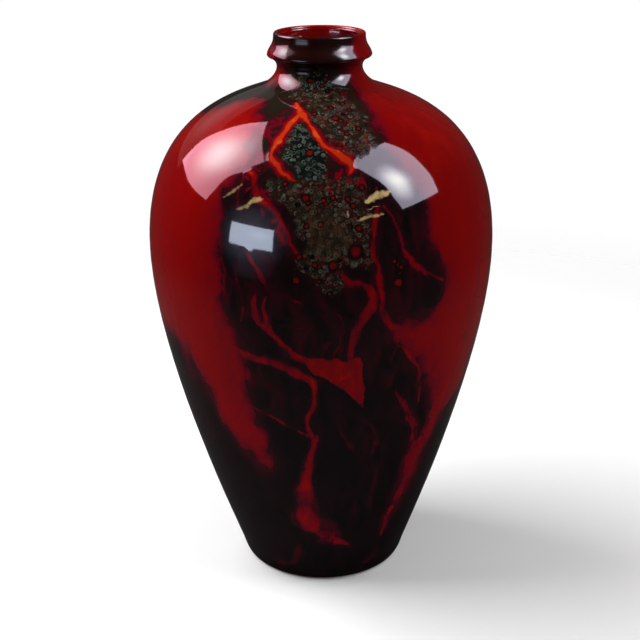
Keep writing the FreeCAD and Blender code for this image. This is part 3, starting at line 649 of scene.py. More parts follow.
def turned_piece(name, outline, shape, material, node):
    """A coat turned from a closed or axis-to-axis outline, as a plain mesh that stands for its node."""
    scene = bpy.context.scene
    line = bpy.data.meshes.new(f"{name}_outline")
    line.from_pydata([(across, 0, up) for across, up in outline], [], [])
    guide = bpy.data.objects.new(f"{name}_outline", line)
    holder = bpy.data.objects.new(f"{name}_blank", bpy.data.meshes.new(f"{name}_blank"))
    for made in (guide, holder):
        scene.collection.objects.link(made)
    wheel = holder.modifiers.new("Wheel", "NODES")
    wheel.node_group = wheel_tree()
    values = {"Outline": guide, "Rows": len(outline), "Sides": shape.sides, "Crowding": shape.crowding,
              "Weld": WELD, "Glaze": material}
    for socket in wheel.node_group.interface.items_tree:
        if socket.in_out == "INPUT":
            wheel[socket.identifier] = values[socket.name]
    bpy.context.view_layer.update()
    ready = holder.evaluated_get(bpy.context.evaluated_depsgraph_get())
    mesh = bpy.data.meshes.new_from_object(ready)
    holder.modifiers.remove(wheel)
    for made in (guide, holder):
        bpy.data.objects.remove(made)
    shell = bmesh.new()
    shell.from_mesh(mesh)
    bmesh.ops.dissolve_degenerate(shell, edges=shell.edges, dist=SLIVER)
    on_axis = [edge for edge in shell.edges if not edge.link_faces]
    bmesh.ops.delete(shell, geom=on_axis, context="EDGES")
    bmesh.ops.recalc_face_normals(shell, faces=shell.faces)
    if shell.calc_volume(signed=True) < 0:
        bmesh.ops.reverse_faces(shell, faces=shell.faces)
    open_edges = sum(1 for edge in shell.edges if len(edge.link_faces) != 2)
    shell.to_mesh(mesh)
    shell.free()
    if open_edges:
        raise RuntimeError(f"{name} isn't closed: {open_edges} open edges")
    mesh.name = name
    piece = bpy.data.objects.new(name, mesh)
    scene.collection.objects.link(piece)
    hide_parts(node)
    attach(piece, ROOT)
    return piece


class Skin:
    """The places of a coat's mesh, by azimuth and level, with the clay's outline to draw on."""

    def __init__(self, mesh, outline):
        self.mesh = mesh
        self.places = self.read(mesh.vertices, "co")
        self.facing = self.read(mesh.vertex_normals, "vector")
        self.azimuth = np.degrees(np.arctan2(self.places[:, 0], -self.places[:, 1]))
        self.level = self.places[:, 2] / MM
        self.outline = outline[np.argsort(outline[:, 1])]

    @staticmethod
    def read(rows, key):
        """Three numbers of each row, as an array."""
        flat = np.empty(len(rows) * 3)
        rows.foreach_get(key, flat)
        return flat.reshape(-1, 3)

    def on_wall(self, azimuth, level):
        """Places on the outside at these azimuths and levels, in metres."""
        level = np.asarray(level, float) * MM
        reach = np.interp(level, self.outline[:, 1], self.outline[:, 0])
        turn = np.radians(azimuth)
        return np.column_stack([reach * np.sin(turn), -reach * np.cos(turn), level])

    def put(self, name, values):
        """Writes an attribute of one or three numbers a place."""
        kind, key = ("FLOAT", "value") if values.ndim == 1 else ("FLOAT_VECTOR", "vector")
        attribute = self.mesh.attributes.new(name, kind, "POINT")
        attribute.data.foreach_set(key, values.astype(np.float32).ravel())


def flowing(places, spacing, closed=False):
    """A smooth line through given places, sampled about once every spacing, in millimetres."""
    places = np.array(places, float)
    if closed:
        padded = np.vstack([places[-1:], places, places[:2]])
    else:
        padded = np.vstack([2 * places[0] - places[1], places, 2 * places[-1] - places[-2]])
    pieces = []
    for before, start, end, after in zip(padded, padded[1:], padded[2:], padded[3:]):
        reach = np.hypot((end[0] - start[0]) * MM_A_DEGREE, end[1] - start[1])
        t = np.linspace(0, 1, max(3, int(reach / spacing)), endpoint=False)[:, None]
        first, last = (end - before) / 2, (after - start) / 2
        pieces.append((2 * t ** 3 - 3 * t ** 2 + 1) * start + (t ** 3 - 2 * t ** 2 + t) * first
                      + (3 * t ** 2 - 2 * t ** 3) * end + (t ** 3 - t ** 2) * last)
    return np.vstack(pieces + [places[:1] if closed else places[-1:]])


def unit(steps):
    """The same steps, each of length 1."""
    return steps / np.linalg.norm(steps, axis=1)[:, None]


def nearest(places, line, reach):
    """Which sample of a line is nearest to each place within reach, and how far off it is."""
    off = np.full(len(places), np.inf)
    which = np.zeros(len(places), int)
    middle = (line.min(0) + line.max(0)) / 2
    radius = np.linalg.norm(line - middle, axis=1).max() + reach
    near = np.flatnonzero(np.linalg.norm(places - middle, axis=1) < radius)
    for part in np.array_split(near, max(1, len(near) * len(line) // PAIRS_AT_ONCE)):
        apart = np.linalg.norm(places[part, None, :] - line[None, :, :], axis=2)
        which[part] = apart.argmin(1)
        off[part] = apart.min(1)
    return which, off


def draw_veins(skin, veins, name):
    """Writes, for the nearest vein of a lane, how far to its side a place lies, the vein's half width
    there and its heat. The side distance has a sign, so the middle of a thin vein stays sharp."""
    off_best = np.full(len(skin.places), np.inf)
    drawn = np.tile([FAR_OFF, -FAR_OFF, 0.0], (len(skin.places), 1))
    for heat_start, heat_end, places in veins:
        line = flowing(places, 0.5)
        wall = skin.on_wall(line[:, 0], line[:, 1])
        which, off = nearest(skin.places, wall, VEIN_REACH * MM)
        closer = np.flatnonzero((off < off_best) & (off < VEIN_REACH * MM))
        off_best[closer] = off[closer]
        chosen = which[closer]
        along = unit(np.gradient(wall, axis=0))[chosen]
        across = unit(np.cross(unit(wall[chosen] * [1, 1, 0]), along))
        apart = (skin.places[closer] - wall[chosen]) / MM
        side = (apart * across).sum(1)
        past = (apart * along).sum(1)
        over = np.where(chosen == 0, -past, np.where(chosen == len(line) - 1, past, 0)).clip(0)
        # A vein thins out past its ends, and stops well to its side.
        half = line[chosen, 2]
        half = half - END_TAPER * over - SIDE_TAPER * (np.abs(side) - 2.5 * half - 2).clip(0)
        heat = heat_start + (heat_end - heat_start) * chosen / (len(line) - 1)
        drawn[closer] = np.column_stack([side, half, heat])
    skin.put(name, drawn)
    return drawn


def inside_of(skin, corners):
    """Which places lie inside a closed line of azimuths and levels."""
    middle = (corners[:, 0].min() + corners[:, 0].max()) / 2
    azimuth = (skin.azimuth - middle + 180) % 360 - 180 + middle
    within = np.zeros(len(azimuth), bool)
    for start, end in zip(corners, np.roll(corners, -1, axis=0)):
        crosses = (start[1] > skin.level) != (end[1] > skin.level)
        if crosses.any():
            at = start[0] + (skin.level - start[1]) * (end[0] - start[0]) / (end[1] - start[1])
            within ^= crosses & (azimuth < at)
    return within


def patch_depth(skin, patches):
    """How deep each place lies in the nearest patch, in millimetres, and below zero outside."""
    depth = np.full(len(skin.places), -FAR_OFF)
    for corners in patches:
        line = flowing(corners, 1.0, closed=True)
        off = nearest(skin.places, skin.on_wall(line[:, 0], line[:, 1]), FAR_OFF * MM)[1] / MM
        off = off.clip(0, FAR_OFF)
        depth = np.maximum(depth, np.where(inside_of(skin, line), off, -off))
    return depth


def gathered_and_shade_depth(skin):
    """How far each place lies below the top of the dark glaze above the foot, with its painted shade near the
    sides.
    """
    line = flowing(GATHERED_AND_EDGE_SHADE, 1.0)
    line = line[np.argsort(line[:, 0])]
    off = nearest(skin.places, skin.on_wall(line[:, 0], line[:, 1]), coat_high.z)[1] / MM
    below = skin.level < np.interp(skin.azimuth, line[:, 0], line[:, 1])
    return np.where(below, off, -off).clip(-FAR_OFF, FAR_OFF)


def draw_spots(skin):
    """Writes the place of the nearest ring spot's heart, seen from each place, and its radius."""
    count = len(skin.places)
    off_best = np.full(count, np.inf)
    drawn = np.tile([FAR_OFF, 0.0, 1.0], (count, 1))
    for azimuth, level, radius in SPOTS:
        apart = (skin.places - skin.on_wall([azimuth], [level])[0]) / MM
        away = np.linalg.norm(apart, axis=1)
        off = away - radius
        closer = (off < off_best) & (off < SPOT_REACH)
        off_best[closer] = off[closer]
        turn = radians(azimuth)
        across = apart @ np.array([cos(turn), sin(turn), 0])
        upward = np.sqrt((away ** 2 - across ** 2).clip(0)) * np.sign(apart[:, 2])
        drawn[closer] = np.column_stack([across, upward, np.full(count, radius)])[closer]
    skin.put("spot", drawn)


def soften(value, start, end):
    """A smooth rise from 0 at the start to 1 at the end."""
    t = ((value - start) / (end - start)).clip(0, 1)
    return t * t * (3 - 2 * t)


def relief(skin, outer, veins, dark):
    """Moves the outer face a little: throwing rings, slow waves, raised dark glaze and veins, a rolled edge
    above the foot."""
    draw = np.random.default_rng(SEED)
    azimuth, level = np.radians(skin.azimuth), skin.level
    # Rings about 12 mm apart, which wander a little round the wall.
    lift = RING_RISE * np.sin(level / 2.1 + 0.7 * np.sin(azimuth + 0.4) + 0.05 * level)
    for _ in range(WAVES):
        around = draw.integers(1, 9)
        upward = draw.uniform(0.02, 0.14)
        lift += WAVE_RISE * np.cos(around * azimuth + upward * level + draw.uniform(0, 2 * pi))
    lift += DARK_RISE * soften(dark, -3, 3)
    for drawn in veins:
        lift += VEIN_RISE * soften(drawn[:, 1] - np.abs(drawn[:, 0]), -0.8, 0.8)
    starts, highest, ends = EDGE_LEVELS
    lift += EDGE_RISE * soften(level, starts, highest) * (1 - soften(level, highest, ends))
    wiped = coat_low.z / MM
    held = soften(level, wiped, wiped + 1) * (1 - soften(level, *LIP_LEVELS))
    moved = skin.places + skin.facing * (lift * held * outer * MM)[:, None]
    skin.mesh.vertices.foreach_set("co", moved.ravel())
    skin.mesh.update()


def flambe_glaze(glaze):
    """Copper-red flambe glaze, trailed over iron black and fired until it ran. The eye gets a wet,
    glassy red that breaks through black in soft-edged veins, with crystal speckle on the shoulder."""
    material = bpy.data.materials.new("copper_red_flambe_glaze_on_stoneware")
    node = emptied(material)
    place = node("coordinates")
    grain = node("mapping", place, (METRE, METRE, METRE))
    runs = node("mapping", place, (METRE, METRE, METRE * RUN))
    noise = {name: node("noise", runs if long else grain, 1 / size, detail, rough, twist)
             for name, (long, size, detail, rough, twist) in NOISES.items()}
    drawn = {name: node("drawn", attribute_name=name) for name in ("gathered_and_shade", *PATCHES)}
    up = node("separate", grain)["Z"]

    # Wandering of every drawn edge. Levels and depths are in millimetres, and heat goes from 0, black,
    # to 1, orange.
    slow_edge = node("range", noise["slow"], 0.25, 0.75, -3.2, 3.2)
    fine_edge = node("range", noise["fine"], 0.3, 0.7, -0.4, 0.4)
    edge = node("ADD", slow_edge, fine_edge)

    # Dark glaze, partly painted shade: the drawn patches and the pool above the foot.
    dark_mask = node("rise", node("ADD", drawn["dark"], edge), -8.5, 4.0)
    pool_and_shade_edge = node("range", noise["veil"], 0.3, 0.7, -9.0, 9.0)
    # The pool's rise towards the sides is partly painted shade.
    pool_and_shade_mask = node("rise", node("ADD", drawn["gathered_and_shade"], pool_and_shade_edge), -16.0, 9.0)
    cool_and_shaded = node("MAXIMUM", dark_mask, pool_and_shade_mask)

    # Heat of the ground: red field against the dark, with wisps of wine in the dark.
    red_heat = node("ADD", node("rise", noise["veil"], 0.3, 0.7, 0.64, 0.71),
                    node("rise", up, 225.0, 262.0, 0.0, 0.06))
    near_dark = node("MULTIPLY", node("rise", drawn["dark"], -24.0, -6.0),
                     node("rise", noise["strand"], 0.34, 0.62, 0.04, 0.16))
    near_dark = node("MULTIPLY", near_dark, node("rise", up, 215.0, 180.0, 0.3, 1.0))
    red_heat = node("SUBTRACT", red_heat, near_dark)
    ridge = node("ABSOLUTE", node("SUBTRACT", noise["wisp"], 0.5))
    wisps = node("MULTIPLY", node("rise", ridge, 0.05, 0.0),
                 node("rise", noise["cloud"], 0.4, 0.62, 0.0, 0.34))
    dark_heat = node("MAXIMUM", node("rise", noise["strand"], 0.36, 0.75, 0.06, 0.3), wisps)
    dark_heat = node("MULTIPLY", dark_heat, node("rise", up, 20.0, 180.0, 0.36, 1.0))
    heat = node("mix", cool_and_shaded, red_heat, dark_heat)

    # Red clouds in the dark.
    clouded = node("rise", node("ADD", drawn["clouded"], edge), -1.5, 3.0)
    blots = node("MAXIMUM", node("rise", noise["blot"], 0.44, 0.68, 0.0, 0.6),
                 node("rise", noise["strand"], 0.42, 0.66, 0.12, 0.62))
    blots = node("MULTIPLY", blots, node("rise", up, 240.0, 252.0, 1.0, 0.74))
    heat = node("MAXIMUM", heat, node("MULTIPLY", clouded, blots))

    # Veins, lane by lane: a wide dull halo and a hot core, as the hotter glaze bleeds at its edges.
    for lane in LANES:
        vein = node("separate", node("drawn_vector", attribute_name=lane))
        side = node("ABSOLUTE", node("MULTIPLY_ADD", slow_edge, 0.3, vein["X"]))
        width = node("MULTIPLY", vein["Y"], node("range", noise["swell"], 0.3, 0.7, 0.45, 1.35))
        inside = node("MULTIPLY_ADD", fine_edge, 0.5, node("SUBTRACT", width, side))
        hot = node("MULTIPLY", vein["Z"], node("range", noise["strand"], 0.34, 0.66, 0.56, 1.08))
        hottest = node("MULTIPLY", vein["Z"], node("rise", vein["Z"], 0.74, 0.86, 0.0, 0.9))
        within = node("DIVIDE", inside, node("MAXIMUM", node("MULTIPLY", width, 0.7), 1.0))
        bled = node("ADD", node("rise", inside, -2.6, 0.4, 0.0, 0.6),
                    node("rise", within, -0.1, 1.0, 0.0, 0.46))
        bled = node("MULTIPLY", bled, node("rise", vein["Y"], -1.0, 0.2))
        heat = node("MAXIMUM", heat, node("MULTIPLY", bled, node("MAXIMUM", hot, hottest)))

    # The arrowhead, hottest in its middle.
    arrow = node("rise", node("MULTIPLY_ADD", edge, 0.35, drawn["arrow"]), -1.4, 1.0)
    hot = node("rise", noise["strand"], 0.36, 0.68, 0.54, 0.8)
    heat = node("MAXIMUM", heat, node("MULTIPLY", arrow, hot))

    coloured = node("tones", heat)
    set_tones(coloured.node.color_ramp, [
        (0.0, glaze.black), (0.14, glaze.plum), (0.34, glaze.wine), (0.48, glaze.crimson),
        (0.6, glaze.deep_red), (0.7, glaze.red), (0.82, glaze.bright_red), (0.96, glaze.orange)])

    # Iron brown towards the neck, inside the dark glaze and its painted shade only.
    cold_and_shaded = node("rise", heat, 0.4, 0.12)
    iron = node("blend", node("rise", up, 281.0, 289.0), glaze.olive, glaze.rust)
    coloured = node("blend", node("MULTIPLY", node("rise", up, 236.0, 262.0), cold_and_shaded), coloured, iron)

    # Crystal speckle: bubbles, each with a pale rim of its own strength, and here and there a larger one
    # with a red heart.
    cells = node("cells", grain, 1 / BUBBLE, 0.9)
    off, own = cells["Distance"], node("separate", cells["Color"])
    rim = node("MULTIPLY", node("rise", off, 0.18, 0.4), node("rise", off, 0.68, 0.5))
    rim = node("MULTIPLY", rim, node("rise", own["X"], 0.05, 0.8))
    rim = node("MULTIPLY", rim, node("rise", noise["blot"], 0.34, 0.6, 0.25, 1.0))
    ground = node("blend", node("rise", noise["blot"], 0.4, 0.66), glaze.olive, glaze.wine)
    bubbled = node("rise", node("ADD", drawn["bubbled"], edge), -1.4, 1.0)
    greener = node("MAXIMUM", bubbled, node("rise", own["Y"], 0.3, 0.7))
    speck = node("blend", rim, node("blend", bubbled, ground, glaze.ink),
                 node("blend", greener, glaze.tan, glaze.green))
    big = node("cells", grain, 1 / HEARTED_BUBBLE, 1.0)
    chosen = node("GREATER_THAN", node("separate", big["Color"])["Y"], 0.72)
    heart = node("MULTIPLY", node("rise", big["Distance"], 0.24, 0.12), chosen)
    ring = node("MULTIPLY", node("rise", big["Distance"], 0.42, 0.34), chosen)
    speck = node("blend", heart, node("blend", ring, speck, glaze.black), glaze.deep_red)
    patch = node("MAXIMUM", bubbled, node("rise", node("ADD", drawn["speckled"], edge), -1.8, 1.6))
    patch = node("MULTIPLY", patch, node("rise", heat, 0.56, 0.42))
    coloured = node("blend", patch, coloured, speck)

    # Tan breaks, flecked with dark.
    tan = node("rise", node("ADD", drawn["tan"], edge), -1.6, 2.2)
    tan = node("MULTIPLY", tan, node("rise", noise["blot"], 0.4, 0.64, 0.1, 0.6))
    tan = node("MULTIPLY", tan, node("rise", noise["fine"], 0.38, 0.56, 0.3, 1.0))
    coloured = node("blend", tan, coloured, glaze.tan)

    # Ring spots: a red heart in a dark ring.
    spot = node("separate", node("drawn_vector", attribute_name="spot"))
    away = node("DIVIDE", node("vector_length", node("combine", spot["X"], spot["Y"])), spot["Z"])
    away = node("MULTIPLY_ADD", edge, 0.11, away)
    coloured = node("blend", node("rise", away, 1.25, 0.85), coloured, glaze.black)
    coloured = node("blend", node("rise", away, 0.86, 0.2, 0.0, 0.9), coloured, glaze.deep_red)

    # Gold flecks.
    fleck = node("separate", node("drawn_vector", attribute_name="fleck"))
    inside = node("SUBTRACT", fleck["Y"], node("ABSOLUTE", fleck["X"]))
    inside = node("rise", node("MULTIPLY_ADD", fine_edge, 1.2, inside), -0.4, 0.6)
    inside = node("MULTIPLY", inside, node("rise", noise["fine"], 0.3, 0.6, 0.6, 1.0))
    coloured = node("blend", node("MULTIPLY", inside, fleck["Z"]), coloured, glaze.gold)

    # Glassy surface: duller on the crystals and the neck, dry on its scum, with a faint orange peel.
    raised = node("MULTIPLY_ADD", node("MULTIPLY", rim, patch), 2.0, noise["fine"])
    dull = node("MAXIMUM", node("rise", patch, 0.0, 1.0, 0.05, 0.14),
                node("rise", up, 272.0, 280.0, 0.05, 0.11))
    iron_neck = node("MULTIPLY", node("rise", up, 274.0, 280.0), cold_and_shaded)
    dull = node("MULTIPLY_ADD", iron_neck, 0.04, dull)
    gloss = node("rise", node("ADD", drawn["matt"], fine_edge), -1.4, 1.0, 0.5, 0.1)
    bump = node("bump", raised, 0.25, PEEL)
    node("material_output", node("principled", coloured, dull, bump, GLASS_IOR, gloss))
    return material


def liner_glaze(glaze):
    """The same red glaze poured inside: plain red at the mouth, with painted shade that darkens it to near
    black further down the throat and on one side. The eye gets a glossy dark throat with a red rim."""
    material = bpy.data.materials.new("poured_red_liner_glaze")
    node = emptied(material)
    place = node("coordinates")
    grain = node("mapping", place, (METRE, METRE, METRE * LINER_RUN))
    strand = node("noise", grain, 1 / 6, 5.0)
    at = node("separate", place)
    # Painted shade: darker further down the throat, lighter near the lip.
    painted_lip_light = node("range", at["Z"], 0.283, 0.300)
    # Painted shade: the mouth is darker on one side, as if lit from the other.
    painted_side_shade = node("range", at["X"], 0.0, 0.018, 0.05, 0.55)
    tone = node("tones", node("MULTIPLY_ADD", strand, 0.6, node("SUBTRACT", painted_lip_light, painted_side_shade)))
    set_tones(tone.node.color_ramp, [
        (0.1, glaze.black), (0.55, glaze.wine), (0.9, glaze.deep_red), (1.0, glaze.red)])
    dull = node("range", strand, 0.0, 1.0, 0.05, 0.14)
    bump = node("bump", node("noise", grain, 1 / 1.6), 0.25, PEEL)
    node("material_output", node("principled", tone, dull, bump, GLASS_IOR))
    return material


def base_glaze(glaze):
    """Thin iron glaze brushed under the foot. The eye gets a dark, pitted, half glossy skin."""
    material = bpy.data.materials.new("brushed_iron_base_glaze")
    node = emptied(material)
    grain = node("mapping", node("coordinates"), (METRE, METRE, METRE))
    cloud = node("noise", grain, 1 / 11, 5.0)
    pits = node("range", node("cells", grain, 1 / 3.2)["Distance"], 0.05, 0.16)
    tone = node("blend", node("range", cloud, 0.35, 0.7), glaze.black, glaze.wine)
    tone = node("blend", pits, glaze.olive, tone)
    dull = node("range", cloud, 0.0, 1.0, 0.12, 0.3)
    node("material_output", node("principled", tone, dull, node("bump", pits, 0.5, 0.08 * MM)))
    return material


def bare_stoneware(glaze):
    """Fired stoneware, turned and left bare. The eye gets matt, sandy clay, toasted in clouds, with
    turning lines and dark specks."""
    material = bpy.data.materials.new("turned_bare_stoneware")
    node = emptied(material)
    grain = node("mapping", node("coordinates"), (METRE, METRE, METRE))
    cloud = node("noise", grain, 1 / 8, 5.0)
    grit = node("noise", grain, 1 / 0.7, 3.0)
    # Turning lines, as rings round the axis.
    at = node("separate", grain)
    reach = node("vector_length", node("combine", at["X"], at["Y"]))
    line = node("SINE", node("MULTIPLY", reach, 2 * pi / TURNING))
    tone = node("blend", node("range", cloud, 0.35, 0.66), glaze.clay_dark, glaze.clay)
    tone = node("blend", node("range", grit, 0.68, 0.74), tone, glaze.olive)
    dull = node("range", cloud, 0.0, 1.0, 0.72, 0.9)
    bump = node("bump", node("MULTIPLY_ADD", line, 0.35, grit), 0.6, 0.1 * MM)
    node("material_output", node("principled", tone, dull, bump))
    return material


def dress(name, material):
    """Gives a packed node its finish."""
    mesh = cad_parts[name].data
    mesh.materials.clear()
    mesh.materials.append(material)


class VASE_OT_outer_coat(bpy.types.Operator):
    """Turns the outer coat of glaze and draws its veins, patches and spots"""
    bl_idname = "vase.outer_coat"
    bl_label = "Outer coat"

    def execute(self, context):
        shape, glaze = context.scene.vase_shape, context.scene.vase_glaze
        face = outer_face(shape, 0, OUTER_STEPS)
        back = outer_face(shape, shape.coat, OUTER_BACK_STEPS)
        outline = np.vstack([face, back[-2::-1], face[:1]])
        piece = turned_piece("outer_glaze_coat", outline, shape, flambe_glaze(glaze),
                             "outer_glaze")
        skin = Skin(piece.data, face)
        veins = [draw_veins(skin, [vein[1:] for vein in VEINS.values() if vein[0] == number], lane)
                 for number, lane in enumerate(LANES)]
        draw_veins(skin, [(strength, strength, places) for strength, places in FLECKS], "fleck")
        depths = {name: patch_depth(skin, patches) for name, patches in PATCHES.items()}
        for name, depth in {"gathered_and_shade": gathered_and_shade_depth(skin), **depths}.items():
            skin.put(name, depth)
        draw_spots(skin)
        # The face against the clay isn't moved.
        reach = np.linalg.norm(skin.places[:, :2], axis=1)
        wall = np.linalg.norm(skin.on_wall(skin.azimuth, skin.level)[:, :2], axis=1)
        outer = (reach > wall - 0.1 * MM).astype(float)
        relief(skin, outer, veins, depths["dark"])
        return {"FINISHED"}


class VASE_OT_inner_coat(bpy.types.Operator):
    """Turns the coat of glaze that lines the vase"""
    bl_idname = "vase.inner_coat"
    bl_label = "Inner coat"

    def execute(self, context):
        shape, glaze = context.scene.vase_shape, context.scene.vase_glaze
        face = inner_face(shape, 0, INNER_STEPS)
        back = inner_face(shape, shape.coat, INNER_BACK_STEPS)
        outline = np.vstack([face, back[::-1], face[:1]])
        turned_piece("inner_glaze_coat", outline, shape, liner_glaze(glaze), "inner_glaze")
        return {"FINISHED"}


class VASE_OT_clay(bpy.types.Operator):
    """Gives the three thrown sections their bare, turned clay"""
    bl_idname = "vase.clay"
    bl_label = "Clay body"

    def execute(self, context):
        clay = bare_stoneware(context.scene.vase_glaze)
        for name in ("lower_body", "upper_body", "neck_collar"):
            dress(name, clay)
        return {"FINISHED"}


class VASE_OT_base_coat(bpy.types.Operator):
    """Gives the recess under the foot its brushed glaze"""
    bl_idname = "vase.base_coat"
    bl_label = "Base coat"

    def execute(self, context):
        dress("base_glaze", base_glaze(context.scene.vase_glaze))
        return {"FINISHED"}


# Lamps: name, azimuth and elevation of the lamp seen from the shoulder, distance, width and height
# in metres, brightness at its edge and at its hot spot, where that spot is (across and up) and how
# far it spreads, tint at the edge and at the spot, whether it lights the clay and glaze, and whether
# it is mirrored in them.
MIDDLE = (0.5, 0.5)
LAMPS = [
    ("key_softbox", -105, 39, 1.0, 0.82, 0.88, 5.2, 11, (0.52, 0.52), 0.54, "ffb4c8", "fff8fc", False, True),
    ("key_wash", -100, 44, 1.0, 1.0, 1.0, 4.9, 4.9, MIDDLE, 0.4, "ffffff", "ffffff", True, False),
    ("fill_softbox", 72, 41, 1.0, 0.60, 0.85, 4.8, 17.0, (0.29, 0.43), 0.38, "efe8ff", "fffdfa", False, True),
    ("fill_wash", 76, 40, 1.0, 0.60, 0.90, 3.4, 3.4, MIDDLE, 0.4, "ffffff", "ffffff", True, False),
    ("window", -44, 5, 0.9, 0.46, 0.19, 8.5, 10.0, (0.7, 0.5), 0.4, "dbe8ff", "dbe8ff", False, True),
    ("window_haze", -44, 5, 0.92, 0.80, 0.70, 0.0, 1.2, MIDDLE, 0.56, "a8b8dc", "b8c4e4", False, True),
    ("overhead", 0, 88, 1.4, 1.2, 1.2, 0.65, 0.65, MIDDLE, 0.4, "ffffff", "ffffff", True, False),
    ("under_glow", 0, -89, 0.54, 0.12, 0.12, 5.0, 5.0, MIDDLE, 0.4, "ffffff", "ffffff", True, False),
    ("rear_wall", -150, 24, 1.5, 1.3, 0.7, 0.12, 0.3, MIDDLE, 0.4, "fff0f2", "fff0f2", False, True),
]
# Level of the shoulder, which the lamps face.
LIT_LEVEL = 0.24
# Radius of the paper floor, and where it starts to fade and is gone, in metres.
FLOOR_RADIUS = 1.2
FADE = (0.34, 0.72)
# The paper as it is seen, as the glaze mirrors it, and how much light it adds towards the camera.
PAPER = linear("f4f4f4")
PAPER_MIRRORED = linear("1e1e1e")
PAPER_LIFT = 0.02


def softbox(name, azimuth, elevation, distance, width, height, edge, hot, hot_spot, spread,
            edge_tint, hot_tint, lights, mirrored):
    """An area lamp that faces the shoulder, brighter at its hot spot as a softbox is."""
    lamp = bpy.data.lights.new(name, "AREA")
    lamp.shape = "RECTANGLE"
    lamp.size, lamp.size_y = width, height
    # With this energy the strength of its nodes is the brightness of its face, whatever its size.
    lamp.energy = 4 * width * height
    node = emptied(lamp)
    spot = node("vector_difference", node("geometry")["Parametric"], (*hot_spot, 0))
    off = node("vector_length", node("vector_product", spot, (1, 1, 0)))
    near = node("rise", off, spread, 0.0)
    strength = node("range", near, 0.0, 1.0, edge, hot)
    tint = node("blend", near, linear(edge_tint), linear(hot_tint))
    node("light_output", node("emission", tint, strength))
    holder = bpy.data.objects.new(name, lamp)
    bpy.context.scene.collection.objects.link(holder)
    turn, rise = radians(azimuth), radians(elevation)
    towards = Vector((sin(turn) * cos(rise), -cos(turn) * cos(rise), sin(rise)))
    holder.location = Vector((0, 0, LIT_LEVEL)) + towards * distance
    holder.rotation_euler = towards.to_track_quat("Z", "Y").to_euler()
    holder.visible_camera = False
    holder.visible_diffuse = lights
    holder.visible_glossy = mirrored


def pale_share(node, mirrored):
    """1 for camera and transmission rays and the mirrored share for glossy ones, and the light path."""
    path = node("light_path")
    seen = node("MAXIMUM", path["Is Camera Ray"], path["Is Transmission Ray"])
    return node("MAXIMUM", seen, node("MULTIPLY", path["Is Glossy Ray"], mirrored)), path


def surroundings(scene, stage):
    """White all round for the camera, faint in the glaze, and a little level light on everything."""
    scene.world = bpy.data.worlds.new("studio")
    node = emptied(scene.world)
    seen, path = pale_share(node, stage.mirrored)
    level = node("MAXIMUM", seen, node("MULTIPLY", path["Is Diffuse Ray"], stage.ambient))
    node("world_output", node("background", WHITE, level))


def white_paper(stage):
    """Matt white paper. The eye gets a pale ground that keeps the vase's shadow and fades into the white
    around. It is clear from below and to shadow rays, so it hides no lamp."""
    paper = bpy.data.materials.new("white_paper")
    node = emptied(paper)
    seen, path = pale_share(node, stage.mirrored)
    tone = node("blend", node("MAXIMUM", seen, path["Is Diffuse Ray"]), PAPER_MIRRORED, PAPER)
    lift = node("emission", WHITE, node("MULTIPLY", path["Is Camera Ray"], PAPER_LIFT))
    sheet = node("add_shader", node("diffuse", tone), lift)
    gone = node("rise", node("vector_length", node("coordinates")), *FADE)
    for clear in (node("geometry")["Backfacing"], path["Is Shadow Ray"]):
        gone = node("MAXIMUM", gone, clear)
    node("material_output", node("mix_shader", gone, sheet, node("transparent")))
    return paper


def paper_floor(scene, stage):
    """The sheet that the vase stands on."""
    mesh = bpy.data.meshes.new("floor")
    disc = bmesh.new()
    bmesh.ops.create_circle(disc, cap_ends=True, segments=96, radius=FLOOR_RADIUS)
    disc.to_mesh(mesh)
    disc.free()
    floor = bpy.data.objects.new("floor", mesh)
    scene.collection.objects.link(floor)
    mesh.materials.append(white_paper(stage))


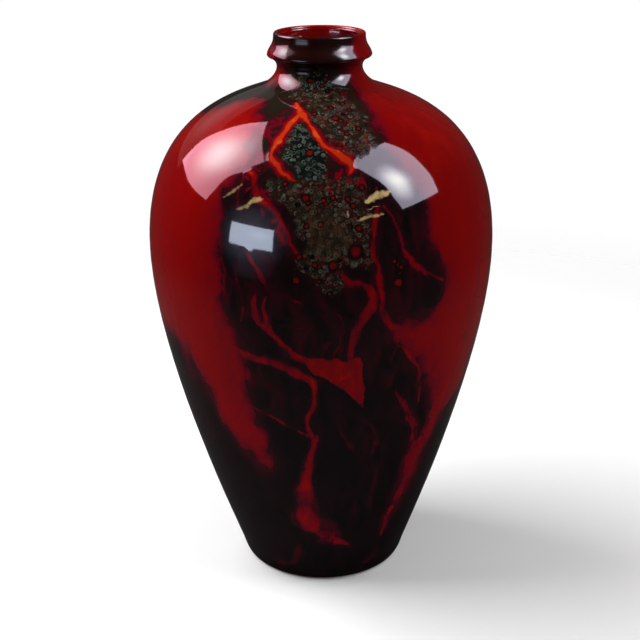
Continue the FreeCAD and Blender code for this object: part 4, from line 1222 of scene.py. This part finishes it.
def place_camera(scene, stage):
    """The camera at the photograph's place and angle."""
    eye = bpy.data.cameras.new("camera")
    eye.lens = stage.focal_length
    eye.shift_x = stage.frame_shift
    camera = bpy.data.objects.new("camera", eye)
    scene.collection.objects.link(camera)
    tilt = Matrix.Rotation(pi / 2 - stage.camera_pitch, 4, "X") @ Matrix.Rotation(-stage.camera_roll, 4, "Z")
    camera.matrix_world = Matrix.Translation((0, -stage.camera_reach, stage.camera_level)) @ tilt
    scene.camera = camera


class VASE_OT_stage(bpy.types.Operator):
    """Sets up the white surroundings, the floor, the lamps and the camera"""
    bl_idname = "vase.stage"
    bl_label = "Stage"

    def execute(self, context):
        scene, stage = context.scene, context.scene.vase_stage
        scene.view_settings.view_transform = "Standard"
        surroundings(scene, stage)
        paper_floor(scene, stage)
        for lamp in LAMPS:
            softbox(*lamp)
        place_camera(scene, stage)
        return {"FINISHED"}


class VASE_PT_panel(bpy.types.Panel):
    """Shows the buttons for the vase's steps, and its sizes, colours and stage"""
    bl_idname = "VASE_PT_panel"
    bl_label = "Vase"
    bl_space_type = "VIEW_3D"
    bl_region_type = "UI"
    bl_category = "Vase"

    def draw(self, context):
        for operator in OPERATORS:
            self.layout.operator(operator.bl_idname)
        for name, group in GROUPS:
            box = self.layout.box()
            box.label(text=group.__doc__)
            for size in group.__annotations__:
                box.prop(getattr(context.scene, name), size)


GROUPS = [("vase_shape", VaseShape), ("vase_glaze", VaseGlaze), ("vase_stage", VaseStage)]
OPERATORS = [VASE_OT_outer_coat, VASE_OT_inner_coat, VASE_OT_clay, VASE_OT_base_coat, VASE_OT_stage]


def register():
    for name, group in GROUPS:
        bpy.utils.register_class(group)
        setattr(bpy.types.Scene, name, PointerProperty(type=group))
    for made in OPERATORS + [VASE_PT_panel]:
        bpy.utils.register_class(made)


def unregister():
    for made in reversed(OPERATORS + [VASE_PT_panel]):
        bpy.utils.unregister_class(made)
    for name, group in reversed(GROUPS):
        delattr(bpy.types.Scene, name)
        bpy.utils.unregister_class(group)


def main():
    """Makes the whole vase and its stage."""
    register()
    bpy.ops.vase.outer_coat()
    bpy.ops.vase.inner_coat()
    bpy.ops.vase.clay()
    bpy.ops.vase.base_coat()
    bpy.ops.vase.stage()


if __name__ == "__main__":
    main()
